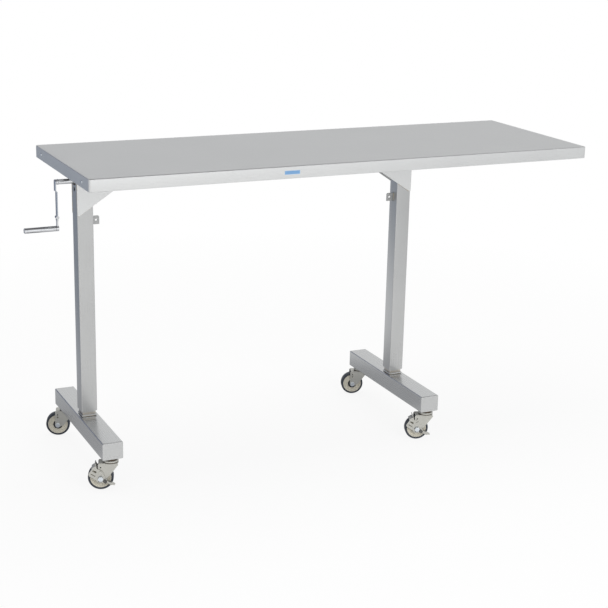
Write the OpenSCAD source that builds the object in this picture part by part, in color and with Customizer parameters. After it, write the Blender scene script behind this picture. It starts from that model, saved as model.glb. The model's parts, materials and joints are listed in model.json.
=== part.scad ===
// Hand-cranked instrument table. A stainless top is carried by two telescopic
// columns, each standing on a floor beam with two swivel casters. A crank at the
// left end turns a cross shaft, and a mitre gear pair in each column turns a lift
// screw, so both columns rise together.
// Millimetres, +Z up. The origin is on the floor under the middle of the whole
// table, crank included. The crank points to -X and the brakes face -Y.

/* [Table top] */
// Length of the work surface
top_len = 1524; // [1300:1:1900]
// Depth of the work surface
top_dep = 520; // [420:1:700]
// Height of the work surface at its lowest setting
top_h = 870; // [830:1:960]
// Depth of the turned-down rim
rim_h = 34; // [30:1:50]
// Thickness of the top's sheet
sheet = 1.5; // [1:0.1:2.5]
// Width of the lip turned in under the rim
lip_w = 12; // [6:1:25]
// Radius of the rim's upright corners
corner_r = 6; // [3:0.5:12]
// Bend radius along the top's edges
bend_r = 2.5; // [2.5:0.25:4]

/* [Stiffening under the top] */
// Depth of the long channel
long_chan_h = 27; // [20:1:29]
// Width of the cross channels
cross_chan_w = 30; // [20:1:31]
// Depth of the cross channels
cross_chan_h = 22; // [16:1:27]
// Wall of the channels
chan_t = 2; // [1:0.1:3]
// Distance of the overhang's cross channel from the right end
overhang_chan_in = 240; // [150:1:300]

/* [Columns] */
// Outside width of the outer tubes
col_w = 45; // [43:0.5:50]
// Wall of the outer tubes
col_t = 2; // [1.5:0.1:2.2]
// Outer corner radius of the tubes of the columns
tube_r = 2; // [1:0.25:3]
// Outside width of the inner tubes
inner_w = 38; // [34:0.5:38.5]
// Wall of the inner tubes
inner_t = 2; // [1.5:0.1:3]
// Left column's middle, measured from the top's left end
left_inset = 59; // [58:1:90]
// Distance between the two columns
col_span = 985; // [800:1:1100]
// Gap between a floor beam and its outer tube at the lowest setting
col_gap = 15.5; // [14:0.5:40]
// How far the top rises
travel = 460; // [300:1:480]
// Height of the plastic slide pads
pad_h = 40; // [25:1:50]
// Clearance of the sliding faces
slide_clear = 0.3; // [0.2:0.05:0.5]
// Depth of the corner plates below the work surface
gusset_drop = 149; // [120:1:180]
// Length of the corner plates along the top
gusset_len = 220; // [150:1:260]
// Thickness of the corner plates
gusset_t = 3; // [2:0.1:5]
// Width of the corner plates' blunt ends
gusset_tip = 6; // [3:1:12]
// Outside width of the stop collars on the inner tubes
collar_w = 43; // [41:0.5:46]
// Thickness of the stop collars
collar_t = 3.5; // [3:0.5:6]
// Height of the stop collars above the beams
collar_up = 1.5; // [1:0.5:9]

/* [Tabs] */
// Reach of the drilled tabs from the columns
tab_reach = 23; // [20:0.5:35]
// Height of the tabs
tab_h = 24; // [18:0.5:26]
// Thickness of the tabs
tab_t = 3; // [2:0.1:5]
// Distance of the tab's hole from the column
tab_hole_out = 14; // [10:0.5:15]
// Diameter of the tab's hole
tab_hole_d = 6.2; // [4:0.1:8]
// Depth of the tabs' middle below the work surface
tab_drop = 168; // [165:1:190]
// Length of the slot that a tab comes out of
slot_h = 29; // [27:0.5:36]

/* [Trim] */
// Length of the blank label plate
label_len = 46; // [30:1:80]
// Height of the blank label plate
label_h = 11.5; // [8:0.5:20]
// Thickness of the label plate
label_t = 0.4; // [0.3:0.1:1]
// Distance of the label plate's middle from the top's middle, to the left
label_left = 197; // [0:1:500]
// Depth of the label and the end screws below the work surface
trim_drop = 17; // [14:0.5:20]
// Half the distance between the end screws
end_screw_half = 199; // [150:1:200]
// Shank diameter of the end screws
end_screw_d = 5; // [4:0.5:6]
// Head diameter of the end screws
end_screw_head_d = 9.5; // [8:0.5:12]
// Head height of the end screws
end_screw_head_h = 2.4; // [1.5:0.1:3]

/* [Floor beams] */
// Length of a beam, end caps included
beam_len = 472; // [420:1:600]
// Width of a beam
beam_w = 58; // [54:1:70]
// Height of a beam
beam_h = 49; // [40:1:60]
// Wall of the beams and end caps
beam_t = 2.5; // [2:0.1:4]
// Radius of the beams' long edges
beam_r = 3; // [2.8:0.1:5]

/* [Casters] */
// Height of the beams' underside above the floor
caster_h = 91; // [88:0.5:100]
// Distance of a caster's swivel axis from the beam's end
caster_inset = 22; // [21.5:0.5:40]
// Distance from the swivel axis back to the wheel's axle
trail = 27; // [26:0.5:36]
// How far the casters are swivelled, from trailing straight to the left
swivel_deg = 20; // [0:1:40]
// Wheel diameter
wheel_d = 70; // [66:0.5:70.5]
// Tread width
tyre_w = 22; // [18:0.5:23]
// Radial thickness of the tyre
tyre_t = 6; // [6:0.5:7]
// Radius of the tread's shoulders
tyre_r = 3; // [2:0.25:3]
// Width of the hub's middle, over both bearings
hub_w = 24; // [20:0.5:24]
// Gap between the fork's two cheeks
fork_gap = 28; // [26:0.5:30]
// Thickness of the fork's cheeks
cheek_t = 2.5; // [2:0.1:3]
// Diameter of the swivel discs
disc_d = 43; // [38:0.5:43]
// Kingpin diameter
kingpin_d = 12; // [10:0.5:14]
// Axle diameter
axle_d = 8; // [6:0.5:8]
// Width across the flats of the axle's head and nut
hex_af = 13; // [12:0.5:14]
// Outside diameter of the ball bearings
bearing_d = 28; // [22:0.5:30]
// Width of a ball bearing
bearing_w = 8; // [6:0.5:9]
// Thickness of the brake lever's plate
lever_t = 2; // [1.5:0.1:2.5]
// How far the brake lever turns
brake_deg = 8; // [5:1:8]

/* [Drive] */
// Cross shaft diameter
shaft_d = 14; // [12:0.5:14]
// Depth of the cross shaft below the work surface
shaft_drop = 55.7; // [54:0.1:60]
// Pitch radius of the mitre gears at their large end
gear_r = 14; // [14:0.1:14.5]
// Teeth of a mitre gear
gear_n = 14; // [12:1:18]
// Face of the mitre gears, measured along their axis
gear_face = 4.5; // [3:0.1:5]
// Lift screw diameter
screw_d = 16; // [12:0.5:20]
// Screw journal diameter
journal_d = 12; // [10:0.5:14]
// Diameter of the round access hole below the cross shaft
access_d = 12; // [8:0.5:14]
// Depth of the access hole below the cross shaft
access_drop = 23; // [21:0.5:24]

/* [Crank] */
// Crank radius, from the shaft's axis to the grip's axis
crank_r = 128; // [100:0.5:160]
// Distance of the arm's outer face from the top's left end
arm_out = 18; // [16:0.5:40]
// Width of the crank arm
arm_w = 14; // [12:0.5:18]
// Thickness of the crank arm
arm_t = 3; // [2.5:0.1:5]
// How far the arm's lower part is set in
joggle_in = 3.4; // [2:0.1:6]
// Depth of the joggle below the shaft's axis
joggle_drop = 24; // [18:0.5:40]
// Height of the handle's hinge above the grip's axis
hinge_up = 31; // [24:0.5:40]
// Hinge pin diameter
hinge_pin_d = 4; // [3:0.5:5]
// Grip diameter
grip_d = 15; // [12:0.5:22]
// Grip length
grip_len = 88; // [70:1:120]
// Spindle diameter inside the grip
spindle_d = 7; // [5:0.5:9]

/* [Hidden] */
$fn = 48;

// Colours
steel = [0.74, 0.76, 0.77];
bright = [0.85, 0.86, 0.87];
zinc = [0.80, 0.79, 0.74];
bronze = [0.72, 0.56, 0.32];
dark = [0.14, 0.15, 0.17];
cream = [0.82, 0.78, 0.67];
blue = [0.25, 0.50, 0.75];
white = [0.90, 0.90, 0.88];

// Small clearances and overlaps
run = 0.05;   // radial clearance of a turning fit
gap = 0.4;    // gap between faces that turn past each other
eps = 0.01;   // overlap that keeps a cut clean
hair = 0.03;  // how far an outline's lines lie inside its arcs

// Crank: the arm, the handle's hinge and the grip, measured outwards from the top's end
arm_in = arm_out - arm_t;
low_mid = arm_out - joggle_in - arm_t / 2;
boss_len = 7;
boss_out = low_mid + boss_len / 2;
grip_out = boss_out + gap + grip_len;
hinge_r = 4.5;
eye_w = arm_w / 2;
ear_gap = 0.3;

// The top's middle lies to the right of the origin by half of the crank's overhang
mid_x = grip_out / 2;
end_x = mid_x - top_len / 2;
right_end_x = mid_x + top_len / 2;
left_x = end_x + left_inset;
right_x = left_x + col_span;

// Heights
beam_z = caster_h;
beam_top = beam_z + beam_h;
under_top = top_h - sheet;
col_top = under_top - long_chan_h;
col_bottom = beam_top + col_gap;
shaft_z = top_h - shaft_drop;
grip_z = shaft_z - crank_r;
hinge_z = grip_z + hinge_up;
tab_z = top_h - tab_drop;
trim_z = top_h - trim_drop;

// Stack in each column, from the mitre gears down to the lift nut
gear_back_z = shaft_z - gear_r;
gear_hub_h = 12;
plate_t = 10;
plate_z = gear_back_z - gear_hub_h - plate_t;
thrust_t = 5;
thrust_z = plate_z - thrust_t;
shoulder_t = 5;
shoulder_d = 24;
shoulder_z = thrust_z - shoulder_t;
nut_gap = 5;
nut_flange_t = 5;
nut_len = 30;
inner_top = shoulder_z - nut_gap - nut_flange_t;
screw_bottom = inner_top - nut_len - travel - nut_gap;

// Slide pads
col_in = col_w - 2 * col_t;
pad_t = (col_in - inner_w) / 2 - slide_clear;

// Shaft bushes
bush_wall = 2;
bush_d = shaft_d + 2 * run + 2 * bush_wall;
bush_in = 1.5;
bush_flange_t = 2;
bush_flange_d = bush_d + 6;

// Casters
caster_y = beam_len / 2 - caster_inset;
wheel_r = wheel_d / 2;
neck_t = 5;
neck_d = disc_d - 8;
cup_t = 7;
cup_z = caster_h - neck_t - cup_t;
crown_t = 3;
crown_z = cup_z - gap - crown_t;
cheek_y = fork_gap / 2;
cheek_out = cheek_y + cheek_t;
lever_y = cheek_out + gap;
lever_out = lever_y + lever_t;
hex_h = 5.5;
nut_h = 6.5;
rivet_up = 18;
rivet_d = 5;
fork_hole_up = 31.5;
fork_hole_d = 4;
rivet_hole_up = 24;
web_out = 5;
slot_r = 5.3;
shoe_t = 2;
shoe_r = wheel_r + 1.8;

// A rectangle with round corners, centred
module round_rect(w, d, r) {
    square([w - 2 * r, d], center = true);
    square([w, d - 2 * r], center = true);
    for (sx = [-1, 1], sy = [-1, 1])
        translate([sx * (w / 2 - r), sy * (d / 2 - r)]) circle(r = r);
}

// A closed square ring, standing on z = 0
module square_ring(w, t, h) {
    difference() {
        translate([-w / 2, -w / 2, 0]) cube([w, w, h]);
        translate([t - w / 2, t - w / 2, -1]) cube([w - 2 * t, w - 2 * t, h + 2]);
    }
}

// A square tube with round outer corners, standing on z = 0
module square_tube(w, t, h) {
    difference() {
        linear_extrude(height = h) round_rect(w, w, tube_r);
        translate([t - w / 2, t - w / 2, -1]) cube([w - 2 * t, w - 2 * t, h + 2]);
    }
}

// Where the outer tangent of two circles [x, y, r] touches them, going round to the left.
// The points lie a hair inside the circles, so that line and arc cross instead of just touching.
function tangent(a, b) = let(d = norm([b[0] - a[0], b[1] - a[1]]),
    u = [b[0] - a[0], b[1] - a[1]] / d, c = (a[2] - b[2]) / d, s = sqrt(1 - c * c),
    n = [u[0] * c + u[1] * s, u[1] * c - u[0] * s])
    [[a[0], a[1]] + (a[2] - hair) * n, [b[0], b[1]] + (b[2] - hair) * n];

// The shape that a tight band makes round circles [x, y, r], listed going round to the left
module banded(rounds) {
    last = len(rounds) - 1;
    polygon([for (i = [0:last], p = tangent(rounds[i], rounds[i == last ? 0 : i + 1])) p]);
    for (c = rounds)
        translate([c[0], c[1]]) circle(r = c[2]);
}

// A rod along X from x = a to x = b
module rod_x(a, b, d) {
    translate([a, 0, 0]) rotate([0, 90, 0]) cylinder(d = d, h = b - a);
}

// A rod along Y from y = a to y = b
module rod_y(a, b, d) {
    translate([0, b, 0]) rotate([90, 0, 0]) cylinder(d = d, h = b - a);
}

// A flat shape drawn in X and Z, made a plate from y = a to y = b
module plate_y(a, b) {
    translate([0, b, 0]) rotate([90, 0, 0]) linear_extrude(height = b - a) children();
}

// The outside of the top, with its corners and its upper edges rounded
module top_block(inset, drop, r, edge_r) {
    w = top_len - 2 * inset;
    d = top_dep - 2 * inset;
    h = 2 * rim_h;
    translate([mid_x, 0, top_h - drop]) intersection() {
        translate([0, 0, -h]) linear_extrude(height = h) round_rect(w, d, r);
        translate([0, d / 2, -h / 2]) rotate([90, 0, 0]) linear_extrude(height = d)
            round_rect(w, h, edge_r);
        translate([-w / 2, 0, -h / 2]) rotate([90, 0, 90]) linear_extrude(height = w)
            round_rect(d, h, edge_r);
    }
}

module table_top() {
    rim_z = top_h - rim_h;
    color(steel) difference() {
        top_block(0, 0, corner_r, bend_r);
        // Below the rim nothing is left
        translate([end_x - 1, -top_dep, rim_z - 2 * rim_h])
            cube([top_len + 2, 2 * top_dep, 2 * rim_h]);
        // The hollow above the lip
        difference() {
            top_block(sheet, sheet, corner_r - sheet, bend_r - sheet);
            translate([end_x - 1, -top_dep, rim_z - 2 * rim_h])
                cube([top_len + 2, 2 * top_dep, 2 * rim_h + sheet]);
        }
        // The opening inside the lip
        translate([end_x + lip_w, lip_w - top_dep / 2, rim_z - 1])
            cube([top_len - 2 * lip_w, top_dep - 2 * lip_w, rim_h / 2]);
        for (s = [-1, 1])
            translate([0, s * end_screw_half, trim_z])
                rod_x(end_x - 1, end_x + sheet + 1, end_screw_d);
    }
}

// An upside-down channel along X, hung from the underside of the top
module channel_x(a, b, w, h) {
    translate([a, 0, under_top - h]) difference() {
        translate([0, -w / 2, 0]) cube([b - a, w, h]);
        translate([-1, chan_t - w / 2, -1]) cube([b - a + 2, w - 2 * chan_t, h - chan_t + 1]);
    }
}

// The same along Y
module channel_y(a, b, w, h) {
    rotate([0, 0, 90]) channel_x(a, b, w, h);
}

module long_channel() {
    reach = top_len / 2 - bend_r - cross_chan_w;
    color(steel) channel_x(mid_x - reach, mid_x + reach, col_w, long_chan_h);
}

// The channels stay clear of the bends and corners of the rim
module cross_channels() {
    edge = top_dep / 2 - corner_r;
    half = cross_chan_w / 2;
    color(steel) {
        difference() {
            translate([end_x + bend_r + half, 0, 0]) channel_y(-edge, edge, cross_chan_w, cross_chan_h);
            for (s = [-1, 1])
                translate([0, s * end_screw_half, trim_z])
                    rod_x(end_x, end_x + bend_r + chan_t + 1, end_screw_d);
        }
        translate([right_end_x - bend_r - half, 0, 0])
            channel_y(-edge, edge, cross_chan_w, cross_chan_h);
        for (x = [(left_x + right_x) / 2, right_end_x - overhang_chan_in]) {
            translate([x, 0, 0]) channel_y(-edge, -col_w / 2, cross_chan_w, cross_chan_h);
            translate([x, 0, 0]) channel_y(col_w / 2, edge, cross_chan_w, cross_chan_h);
        }
    }
}

// An outer tube. side is 1 where the tab is on the right, -1 where it is on the left.
module outer_column(side) {
    difference() {
        translate([0, 0, col_bottom]) square_tube(col_w, col_t, col_top - col_bottom);
        translate([0, 0, shaft_z]) rod_x(-col_w, col_w, bush_d);
        translate([0, 0, shaft_z - access_drop]) rod_x(-col_w, 0, access_d);
        translate([side * (col_w / 2 - col_t / 2), 0, tab_z])
            cube([col_t + 1, tab_t, slot_h], center = true);
    }
}

module left_column() {
    color(steel) translate([left_x, 0, 0]) outer_column(1);
}

module right_column() {
    color(steel) translate([right_x, 0, 0]) outer_column(-1);
}

// A pair of corner plates. side is the way that they point along X.
module gusset_pair(side) {
    outer = -col_w / 2;
    low = top_h - gusset_drop;
    for (y = [-col_w / 2 - gusset_t, col_w / 2])
        mirror([side < 0 ? 1 : 0, 0, 0]) plate_y(y, y + gusset_t)
            polygon([[outer, low], [outer + gusset_tip, low],
                [outer + gusset_len, under_top - gusset_tip], [outer + gusset_len, under_top],
                [outer, under_top]]);
}

module gussets() {
    color(bright) {
        translate([left_x, 0, 0]) gusset_pair(1);
        translate([right_x, 0, 0]) gusset_pair(-1);
    }
}

module gear_plates() {
    color(zinc) for (x = [left_x, right_x])
        translate([x, 0, plate_z]) difference() {
            translate([-col_in / 2, -col_in / 2, 0]) cube([col_in, col_in, plate_t]);
            translate([0, 0, -1]) cylinder(d = journal_d + 2 * run, h = plate_t + 2);
        }
}

module thrust_bearings() {
    color(bright) for (x = [left_x, right_x])
        translate([x, 0, thrust_z + gap]) difference() {
            cylinder(d = shoulder_d + 4, h = thrust_t - gap);
            translate([0, 0, -1]) cylinder(d = journal_d + 2 * gap, h = thrust_t + 2);
        }
}

// A flanged bush pushed into a wall from outside. side is the way its flange faces.
module shaft_bush(side) {
    wall_out = col_w / 2;
    mirror([side < 0 ? 1 : 0, 0, 0]) difference() {
        union() {
            rod_x(wall_out - col_t - bush_in, wall_out + eps, bush_d);
            rod_x(wall_out, wall_out + bush_flange_t, bush_flange_d);
        }
        rod_x(0, col_w, shaft_d + 2 * run);
    }
}

module shaft_bushes() {
    color(bronze) for (x = [left_x, right_x], side = [-1, 1])
        translate([x, 0, shaft_z]) shaft_bush(side);
}

module lower_pads() {
    color(white) for (x = [left_x, right_x])
        translate([x, 0, col_bottom]) square_ring(col_in, pad_t, pad_h);
}

// A drilled tab with one round corner, its root flush with the tube's inner wall
module hook_tab(side) {
    r = 5;
    mirror([side < 0 ? 1 : 0, 0, 0]) difference() {
        plate_y(-tab_t / 2, tab_t / 2) translate([col_w / 2, tab_z - tab_h / 2]) {
            translate([-col_t, 0]) square([tab_reach + col_t, tab_h - r]);
            translate([-col_t, 0]) square([tab_reach + col_t - r, tab_h]);
            translate([tab_reach - r, tab_h - r]) circle(r = r);
        }
        translate([col_w / 2 + tab_hole_out, 0, tab_z]) rod_y(-tab_t, tab_t, tab_hole_d);
    }
}

module hook_tabs() {
    color(steel) {
        translate([left_x, 0, 0]) hook_tab(1);
        translate([right_x, 0, 0]) hook_tab(-1);
    }
}

// A button-head screw through the rim and the end channel's side
module end_screws() {
    color(bright) for (s = [-1, 1])
        translate([end_x, s * end_screw_half, trim_z]) {
            rod_x(-eps, bend_r + chan_t + 3, end_screw_d);
            rotate([0, -90, 0]) rotate_extrude() polygon([[0, 0], [end_screw_head_d / 2, 0],
                [end_screw_head_d / 2, end_screw_head_h * 0.35],
                [end_screw_head_d * 0.4, end_screw_head_h * 0.75],
                [end_screw_head_d * 0.26, end_screw_head_h], [0, end_screw_head_h]]);
        }
}

module label_plate() {
    color(blue) translate([mid_x - label_left, -top_dep / 2, trim_z])
        plate_y(-label_t, 0) round_rect(label_len, label_h, 1.5);
}

// The cross shaft is welded to the arm and ends outside the right column
module cross_shaft() {
    color(bright) translate([0, 0, shaft_z])
        rod_x(end_x - arm_in, right_x + col_w / 2 + bush_flange_t + 3, shaft_d);
}

module crank_arm() {
    far = -arm_out;
    low = -arm_out + joggle_in;
    bend = shaft_z - joggle_drop;
    neck = hinge_z + hinge_r + 1;
    color(bright) translate([end_x, 0, 0]) difference() {
        union() {
            translate([0, 0, shaft_z]) rod_x(far, far + arm_t, arm_w);
            plate_y(-arm_w / 2, arm_w / 2) polygon([[far, shaft_z], [far, bend],
                [low, bend - joggle_in], [low, neck], [low + arm_t, neck],
                [low + arm_t, bend - joggle_in + 1], [far + arm_t, bend + 1], [far + arm_t, shaft_z]]);
            translate([low, -eye_w / 2, hinge_z]) cube([arm_t, eye_w, neck - hinge_z + 1]);
            translate([-low_mid, 0, hinge_z]) rod_y(-eye_w / 2, eye_w / 2, 2 * hinge_r);
        }
        translate([-low_mid, 0, hinge_z]) rod_y(-arm_w, arm_w, hinge_pin_d + 2 * run);
    }
}

// The outline of a mitre gear at its large end. Each flank has three points.
gear_dist = gear_r * sqrt(2);
module_mm = 2 * gear_r / gear_n;
tip_r = gear_r * tan(45 + atan(0.72 * module_mm / gear_dist));
root_r = gear_r * tan(45 - atan(1.05 * module_mm / gear_dist));
pitch_deg = 360 / gear_n;
tooth_root = 0.34;
tooth_mid = 0.22;
tooth_tip = 0.085;
function polar(r, a) = [r * cos(a), r * sin(a)];
function gear_outline(phase) = [
    for (i = [0:gear_n - 1], p = [[root_r, -tooth_root], [gear_r, -tooth_mid], [tip_r, -tooth_tip],
        [tip_r, tooth_tip], [gear_r, tooth_mid], [root_r, tooth_root]])
        polar(p[0], (i + phase + p[1]) * pitch_deg)
];

// A mitre gear on +Z, with the point where the two pitch cones meet at the origin
module mitre_gear(phase, hub_h, bore) {
    difference() {
        union() {
            translate([0, 0, gear_r]) mirror([0, 0, 1])
                linear_extrude(height = gear_face, scale = (gear_r - gear_face) / gear_r)
                polygon(gear_outline(phase));
            translate([0, 0, gear_r - 1]) cylinder(r = root_r - 1.5, h = hub_h + 1);
        }
        cylinder(d = bore, h = gear_r + hub_h + 1);
    }
}

module shaft_gears() {
    hub = col_w / 2 - col_t - bush_in - gap - gear_r;
    color(zinc) for (x = [left_x, right_x])
        translate([x, 0, shaft_z]) rotate([0, 90, 0]) mitre_gear(0, hub, shaft_d);
}

// The handle's knuckle: two ears on the hinge pin, a flat bar, a boss and the spindle
module grip_knuckle() {
    bar_t = 4;
    bar_w = 8;
    ear_in = eye_w / 2 + ear_gap;
    color(bright) translate([end_x - low_mid, 0, 0]) {
        for (s = [-1, 1])
            translate([0, s * (ear_in + arm_w / 2) / 2, hinge_z])
                rod_y((ear_in - arm_w / 2) / 2, (arm_w / 2 - ear_in) / 2, 2 * hinge_r);
        for (s = [-1, 1])
            translate([-bar_t / 2, s > 0 ? ear_in : -arm_w / 2, hinge_z - hinge_r - 5])
                cube([bar_t, arm_w / 2 - ear_in, hinge_r + 5]);
        translate([-bar_t / 2, -arm_w / 2, hinge_z - hinge_r - 5]) cube([bar_t, arm_w, 4]);
        translate([-bar_t / 2, -bar_w / 2, grip_z]) cube([bar_t, bar_w, hinge_up - hinge_r - 4]);
        translate([0, 0, hinge_z]) rod_y(-arm_w / 2 - 0.8, arm_w / 2 + 0.8, hinge_pin_d);
        translate([0, 0, grip_z]) rod_x(-boss_len / 2, boss_len / 2, grip_d);
        translate([0, 0, grip_z]) rod_x(-boss_len / 2 - gap - grip_len + 5, 0, spindle_d);
    }
}

module crank_grip() {
    r = 2.5;
    color(bright) translate([end_x - boss_out - gap, 0, grip_z]) rotate([0, -90, 0]) difference() {
        rotate_extrude() {
            square([grip_d / 2, grip_len - r]);
            square([grip_d / 2 - r, grip_len]);
            translate([grip_d / 2 - r, grip_len - r]) intersection() {
                circle(r = r);
                square(r);
            }
        }
        translate([0, 0, -1]) cylinder(d = spindle_d + 2 * run, h = grip_len - 4 + 1);
    }
}

// A lift screw: journal, shoulder and thread, here a plain rod of the thread's diameter
module lift_screw() {
    translate([0, 0, shoulder_z])
        cylinder(d = journal_d, h = shaft_z - gear_r + gear_face - shoulder_z);
    translate([0, 0, shoulder_z]) cylinder(d = shoulder_d, h = shoulder_t);
    translate([0, 0, screw_bottom]) cylinder(d = screw_d, h = shoulder_z - screw_bottom + eps);
}

module left_lift_screw() {
    color(bright) translate([left_x, 0, 0]) lift_screw();
}

module right_lift_screw() {
    color(bright) translate([right_x, 0, 0]) lift_screw();
}

module screw_gear() {
    translate([0, 0, shaft_z]) rotate([180, 0, 0]) mitre_gear(0.5, gear_hub_h - gap, journal_d);
}

module left_screw_gear() {
    color(zinc) translate([left_x, 0, 0]) screw_gear();
}

module right_screw_gear() {
    color(zinc) translate([right_x, 0, 0]) screw_gear();
}

// A floor beam without its caps, with a hole for each kingpin
module beam() {
    difference() {
        rotate([90, 0, 0]) translate([0, 0, beam_t - beam_len / 2])
            linear_extrude(height = beam_len - 2 * beam_t) translate([0, beam_z + beam_h / 2])
            difference() {
                round_rect(beam_w, beam_h, beam_r);
                round_rect(beam_w - 2 * beam_t, beam_h - 2 * beam_t, beam_r - beam_t + 0.1);
            }
        for (s = [-1, 1])
            translate([0, s * caster_y, beam_z - 1]) cylinder(d = kingpin_d, h = beam_t + 2);
    }
}

// The end caps have a softened edge: a full plate behind a slightly smaller one
module beam_caps() {
    edge = 0.8;
    for (s = [0, 1])
        mirror([0, s, 0]) translate([0, -beam_len / 2, beam_z + beam_h / 2]) {
            plate_y(edge, beam_t) round_rect(beam_w, beam_h, beam_r);
            plate_y(edge / 3, edge + eps) round_rect(beam_w - edge, beam_h - edge, beam_r);
            plate_y(0, edge / 3 + eps) round_rect(beam_w - 2 * edge, beam_h - 2 * edge, beam_r);
        }
}

module inner_tube() {
    translate([0, 0, beam_top]) square_tube(inner_w, inner_t, inner_top - beam_top);
}

module stop_collar() {
    translate([0, 0, beam_top + collar_up]) square_ring(collar_w, (collar_w - inner_w) / 2, collar_t);
}

// A flanged nut in the top of an inner tube
module lift_nut() {
    body = inner_w - 2 * inner_t;
    difference() {
        union() {
            translate([-body / 2, -body / 2, inner_top - nut_len]) cube([body, body, nut_len + eps]);
            translate([-inner_w / 2, -inner_w / 2, inner_top]) cube([inner_w, inner_w, nut_flange_t]);
        }
        translate([0, 0, inner_top - nut_len - 1])
            cylinder(d = screw_d + 2 * run, h = nut_len + nut_flange_t + 2);
    }
}

module upper_pad() {
    translate([0, 0, inner_top - pad_h]) square_ring(inner_w + 2 * pad_t, pad_t, pad_h);
}

// The fixed half of a swivel: neck and cup under the beam, the kingpin, its nut and its head
module kingpin() {
    head_d = kingpin_d + 8;
    head_t = 2.5;
    nut_t = 8;
    up = beam_t + nut_t + 3;
    translate([0, 0, crown_z - gap - eps]) cylinder(d = kingpin_d, h = caster_h + up - crown_z);
    translate([0, 0, caster_h - neck_t - eps]) cylinder(d = neck_d, h = neck_t + eps);
    translate([0, 0, cup_z + 1.5]) cylinder(d = disc_d, h = cup_t - 1.5);
    translate([0, 0, cup_z]) cylinder(d = disc_d - 4, h = 1.5 + eps);
    translate([0, 0, crown_z - gap - head_t]) cylinder(d = head_d, h = head_t);
    translate([0, 0, caster_h + beam_t]) cylinder(d = kingpin_d + 9, h = nut_t, $fn = 6);
}

module kingpins() {
    for (s = [-1, 1])
        translate([0, s * caster_y, 0]) kingpin();
}

module left_beam() {
    color(steel) translate([left_x, 0, 0]) beam();
}

module left_beam_caps() {
    color(steel) translate([left_x, 0, 0]) beam_caps();
}

module left_inner_tube() {
    color(steel) translate([left_x, 0, 0]) inner_tube();
}

module left_stop_collar() {
    color(steel) translate([left_x, 0, 0]) stop_collar();
}

module left_lift_nut() {
    color(bronze) translate([left_x, 0, 0]) lift_nut();
}

module left_upper_pad() {
    color(white) translate([left_x, 0, 0]) upper_pad();
}

module left_kingpins() {
    color(zinc) translate([left_x, 0, 0]) kingpins();
}

module right_beam() {
    color(steel) translate([right_x, 0, 0]) beam();
}

module right_beam_caps() {
    color(steel) translate([right_x, 0, 0]) beam_caps();
}

module right_inner_tube() {
    color(steel) translate([right_x, 0, 0]) inner_tube();
}

module right_stop_collar() {
    color(steel) translate([right_x, 0, 0]) stop_collar();
}

module right_lift_nut() {
    color(bronze) translate([right_x, 0, 0]) lift_nut();
}

module right_upper_pad() {
    color(white) translate([right_x, 0, 0]) upper_pad();
}

module right_kingpins() {
    color(zinc) translate([right_x, 0, 0]) kingpins();
}

// Where a caster stands. side is -1 for the left beam, end is -1 for the front.
module at_caster(side, end) {
    translate([side < 0 ? left_x : right_x, end * caster_y, 0]) rotate([0, 0, -swivel_deg]) children();
}

// A cheek of the fork, drawn round the axle: one edge upright, the other slanted
module cheek_outline() {
    top = crown_z + crown_t / 2 - wheel_r;
    banded([[0, 0, 8], [trail - 11.5, 1.5, 3], [trail + 17.5, top - 3, 3], [-4, top - 3, 3]]);
}

// A fork: a disc and a web that join two cheeks. A braked one carries the lever's rivet.
module fork(braked) {
    color(zinc) {
        difference() {
            union() {
                translate([0, 0, crown_z]) cylinder(d = disc_d, h = crown_t);
                translate([-trail - web_out, -cheek_out + 0.5, crown_z])
                    cube([trail, 2 * cheek_out - 1, crown_t]);
                for (y = [-cheek_out, cheek_y])
                    translate([-trail, 0, wheel_r]) plate_y(y, y + cheek_t) cheek_outline();
            }
            translate([0, 0, crown_z - 1]) cylinder(d = kingpin_d + 2 * run, h = caster_h);
            translate([-trail, 0, wheel_r]) rod_y(-cheek_out - 1, cheek_out + 1, axle_d);
            translate([-trail, 0, wheel_r + fork_hole_up])
                rod_y(-cheek_out - 1, cheek_out + 1, fork_hole_d);
            if (!braked)
                translate([-trail, 0, wheel_r + rivet_hole_up])
                    rod_y(-cheek_out - 1, cheek_out + 1, rivet_d);
        }
        if (braked) translate([-trail, 0, wheel_r + rivet_up]) {
            rod_y(-lever_out - gap - eps, -cheek_y - cheek_t / 2, rivet_d);
            rod_y(-lever_out - gap - 1.2, -lever_out - gap, rivet_d + 3.5);
        }
    }
}

// A hexagonal head along -Y with its outer corners chamfered
module hex_head(h) {
    r = hex_af / sqrt(3);
    rotate([90, 0, 0]) intersection() {
        cylinder(r = r, h = h, $fn = 6);
        cylinder(r1 = r + h - 1, r2 = r - 1, h = h);
    }
}

// The axle bolt, its nut and two spacers. A braked one has a shoulder through the lever.
module axle(braked) {
    head_y = braked ? lever_out + gap : cheek_out;
    color(bright) translate([-trail, 0, wheel_r]) {
        rod_y(-cheek_out - eps, cheek_out + nut_h + 2, axle_d);
        if (braked) rod_y(-head_y - eps, -cheek_out, 2 * (slot_r - gap));
        translate([0, -head_y, 0]) hex_head(hex_h);
        mirror([0, 1, 0]) translate([0, -cheek_out, 0]) hex_head(nut_h);
        for (s = [-1, 1])
            translate([0, s * (cheek_y + hub_w / 2 + gap) / 2, 0])
                rod_y((hub_w / 2 + gap - cheek_y) / 2, (cheek_y - hub_w / 2 - gap) / 2, axle_d + 4);
    }
}

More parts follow.
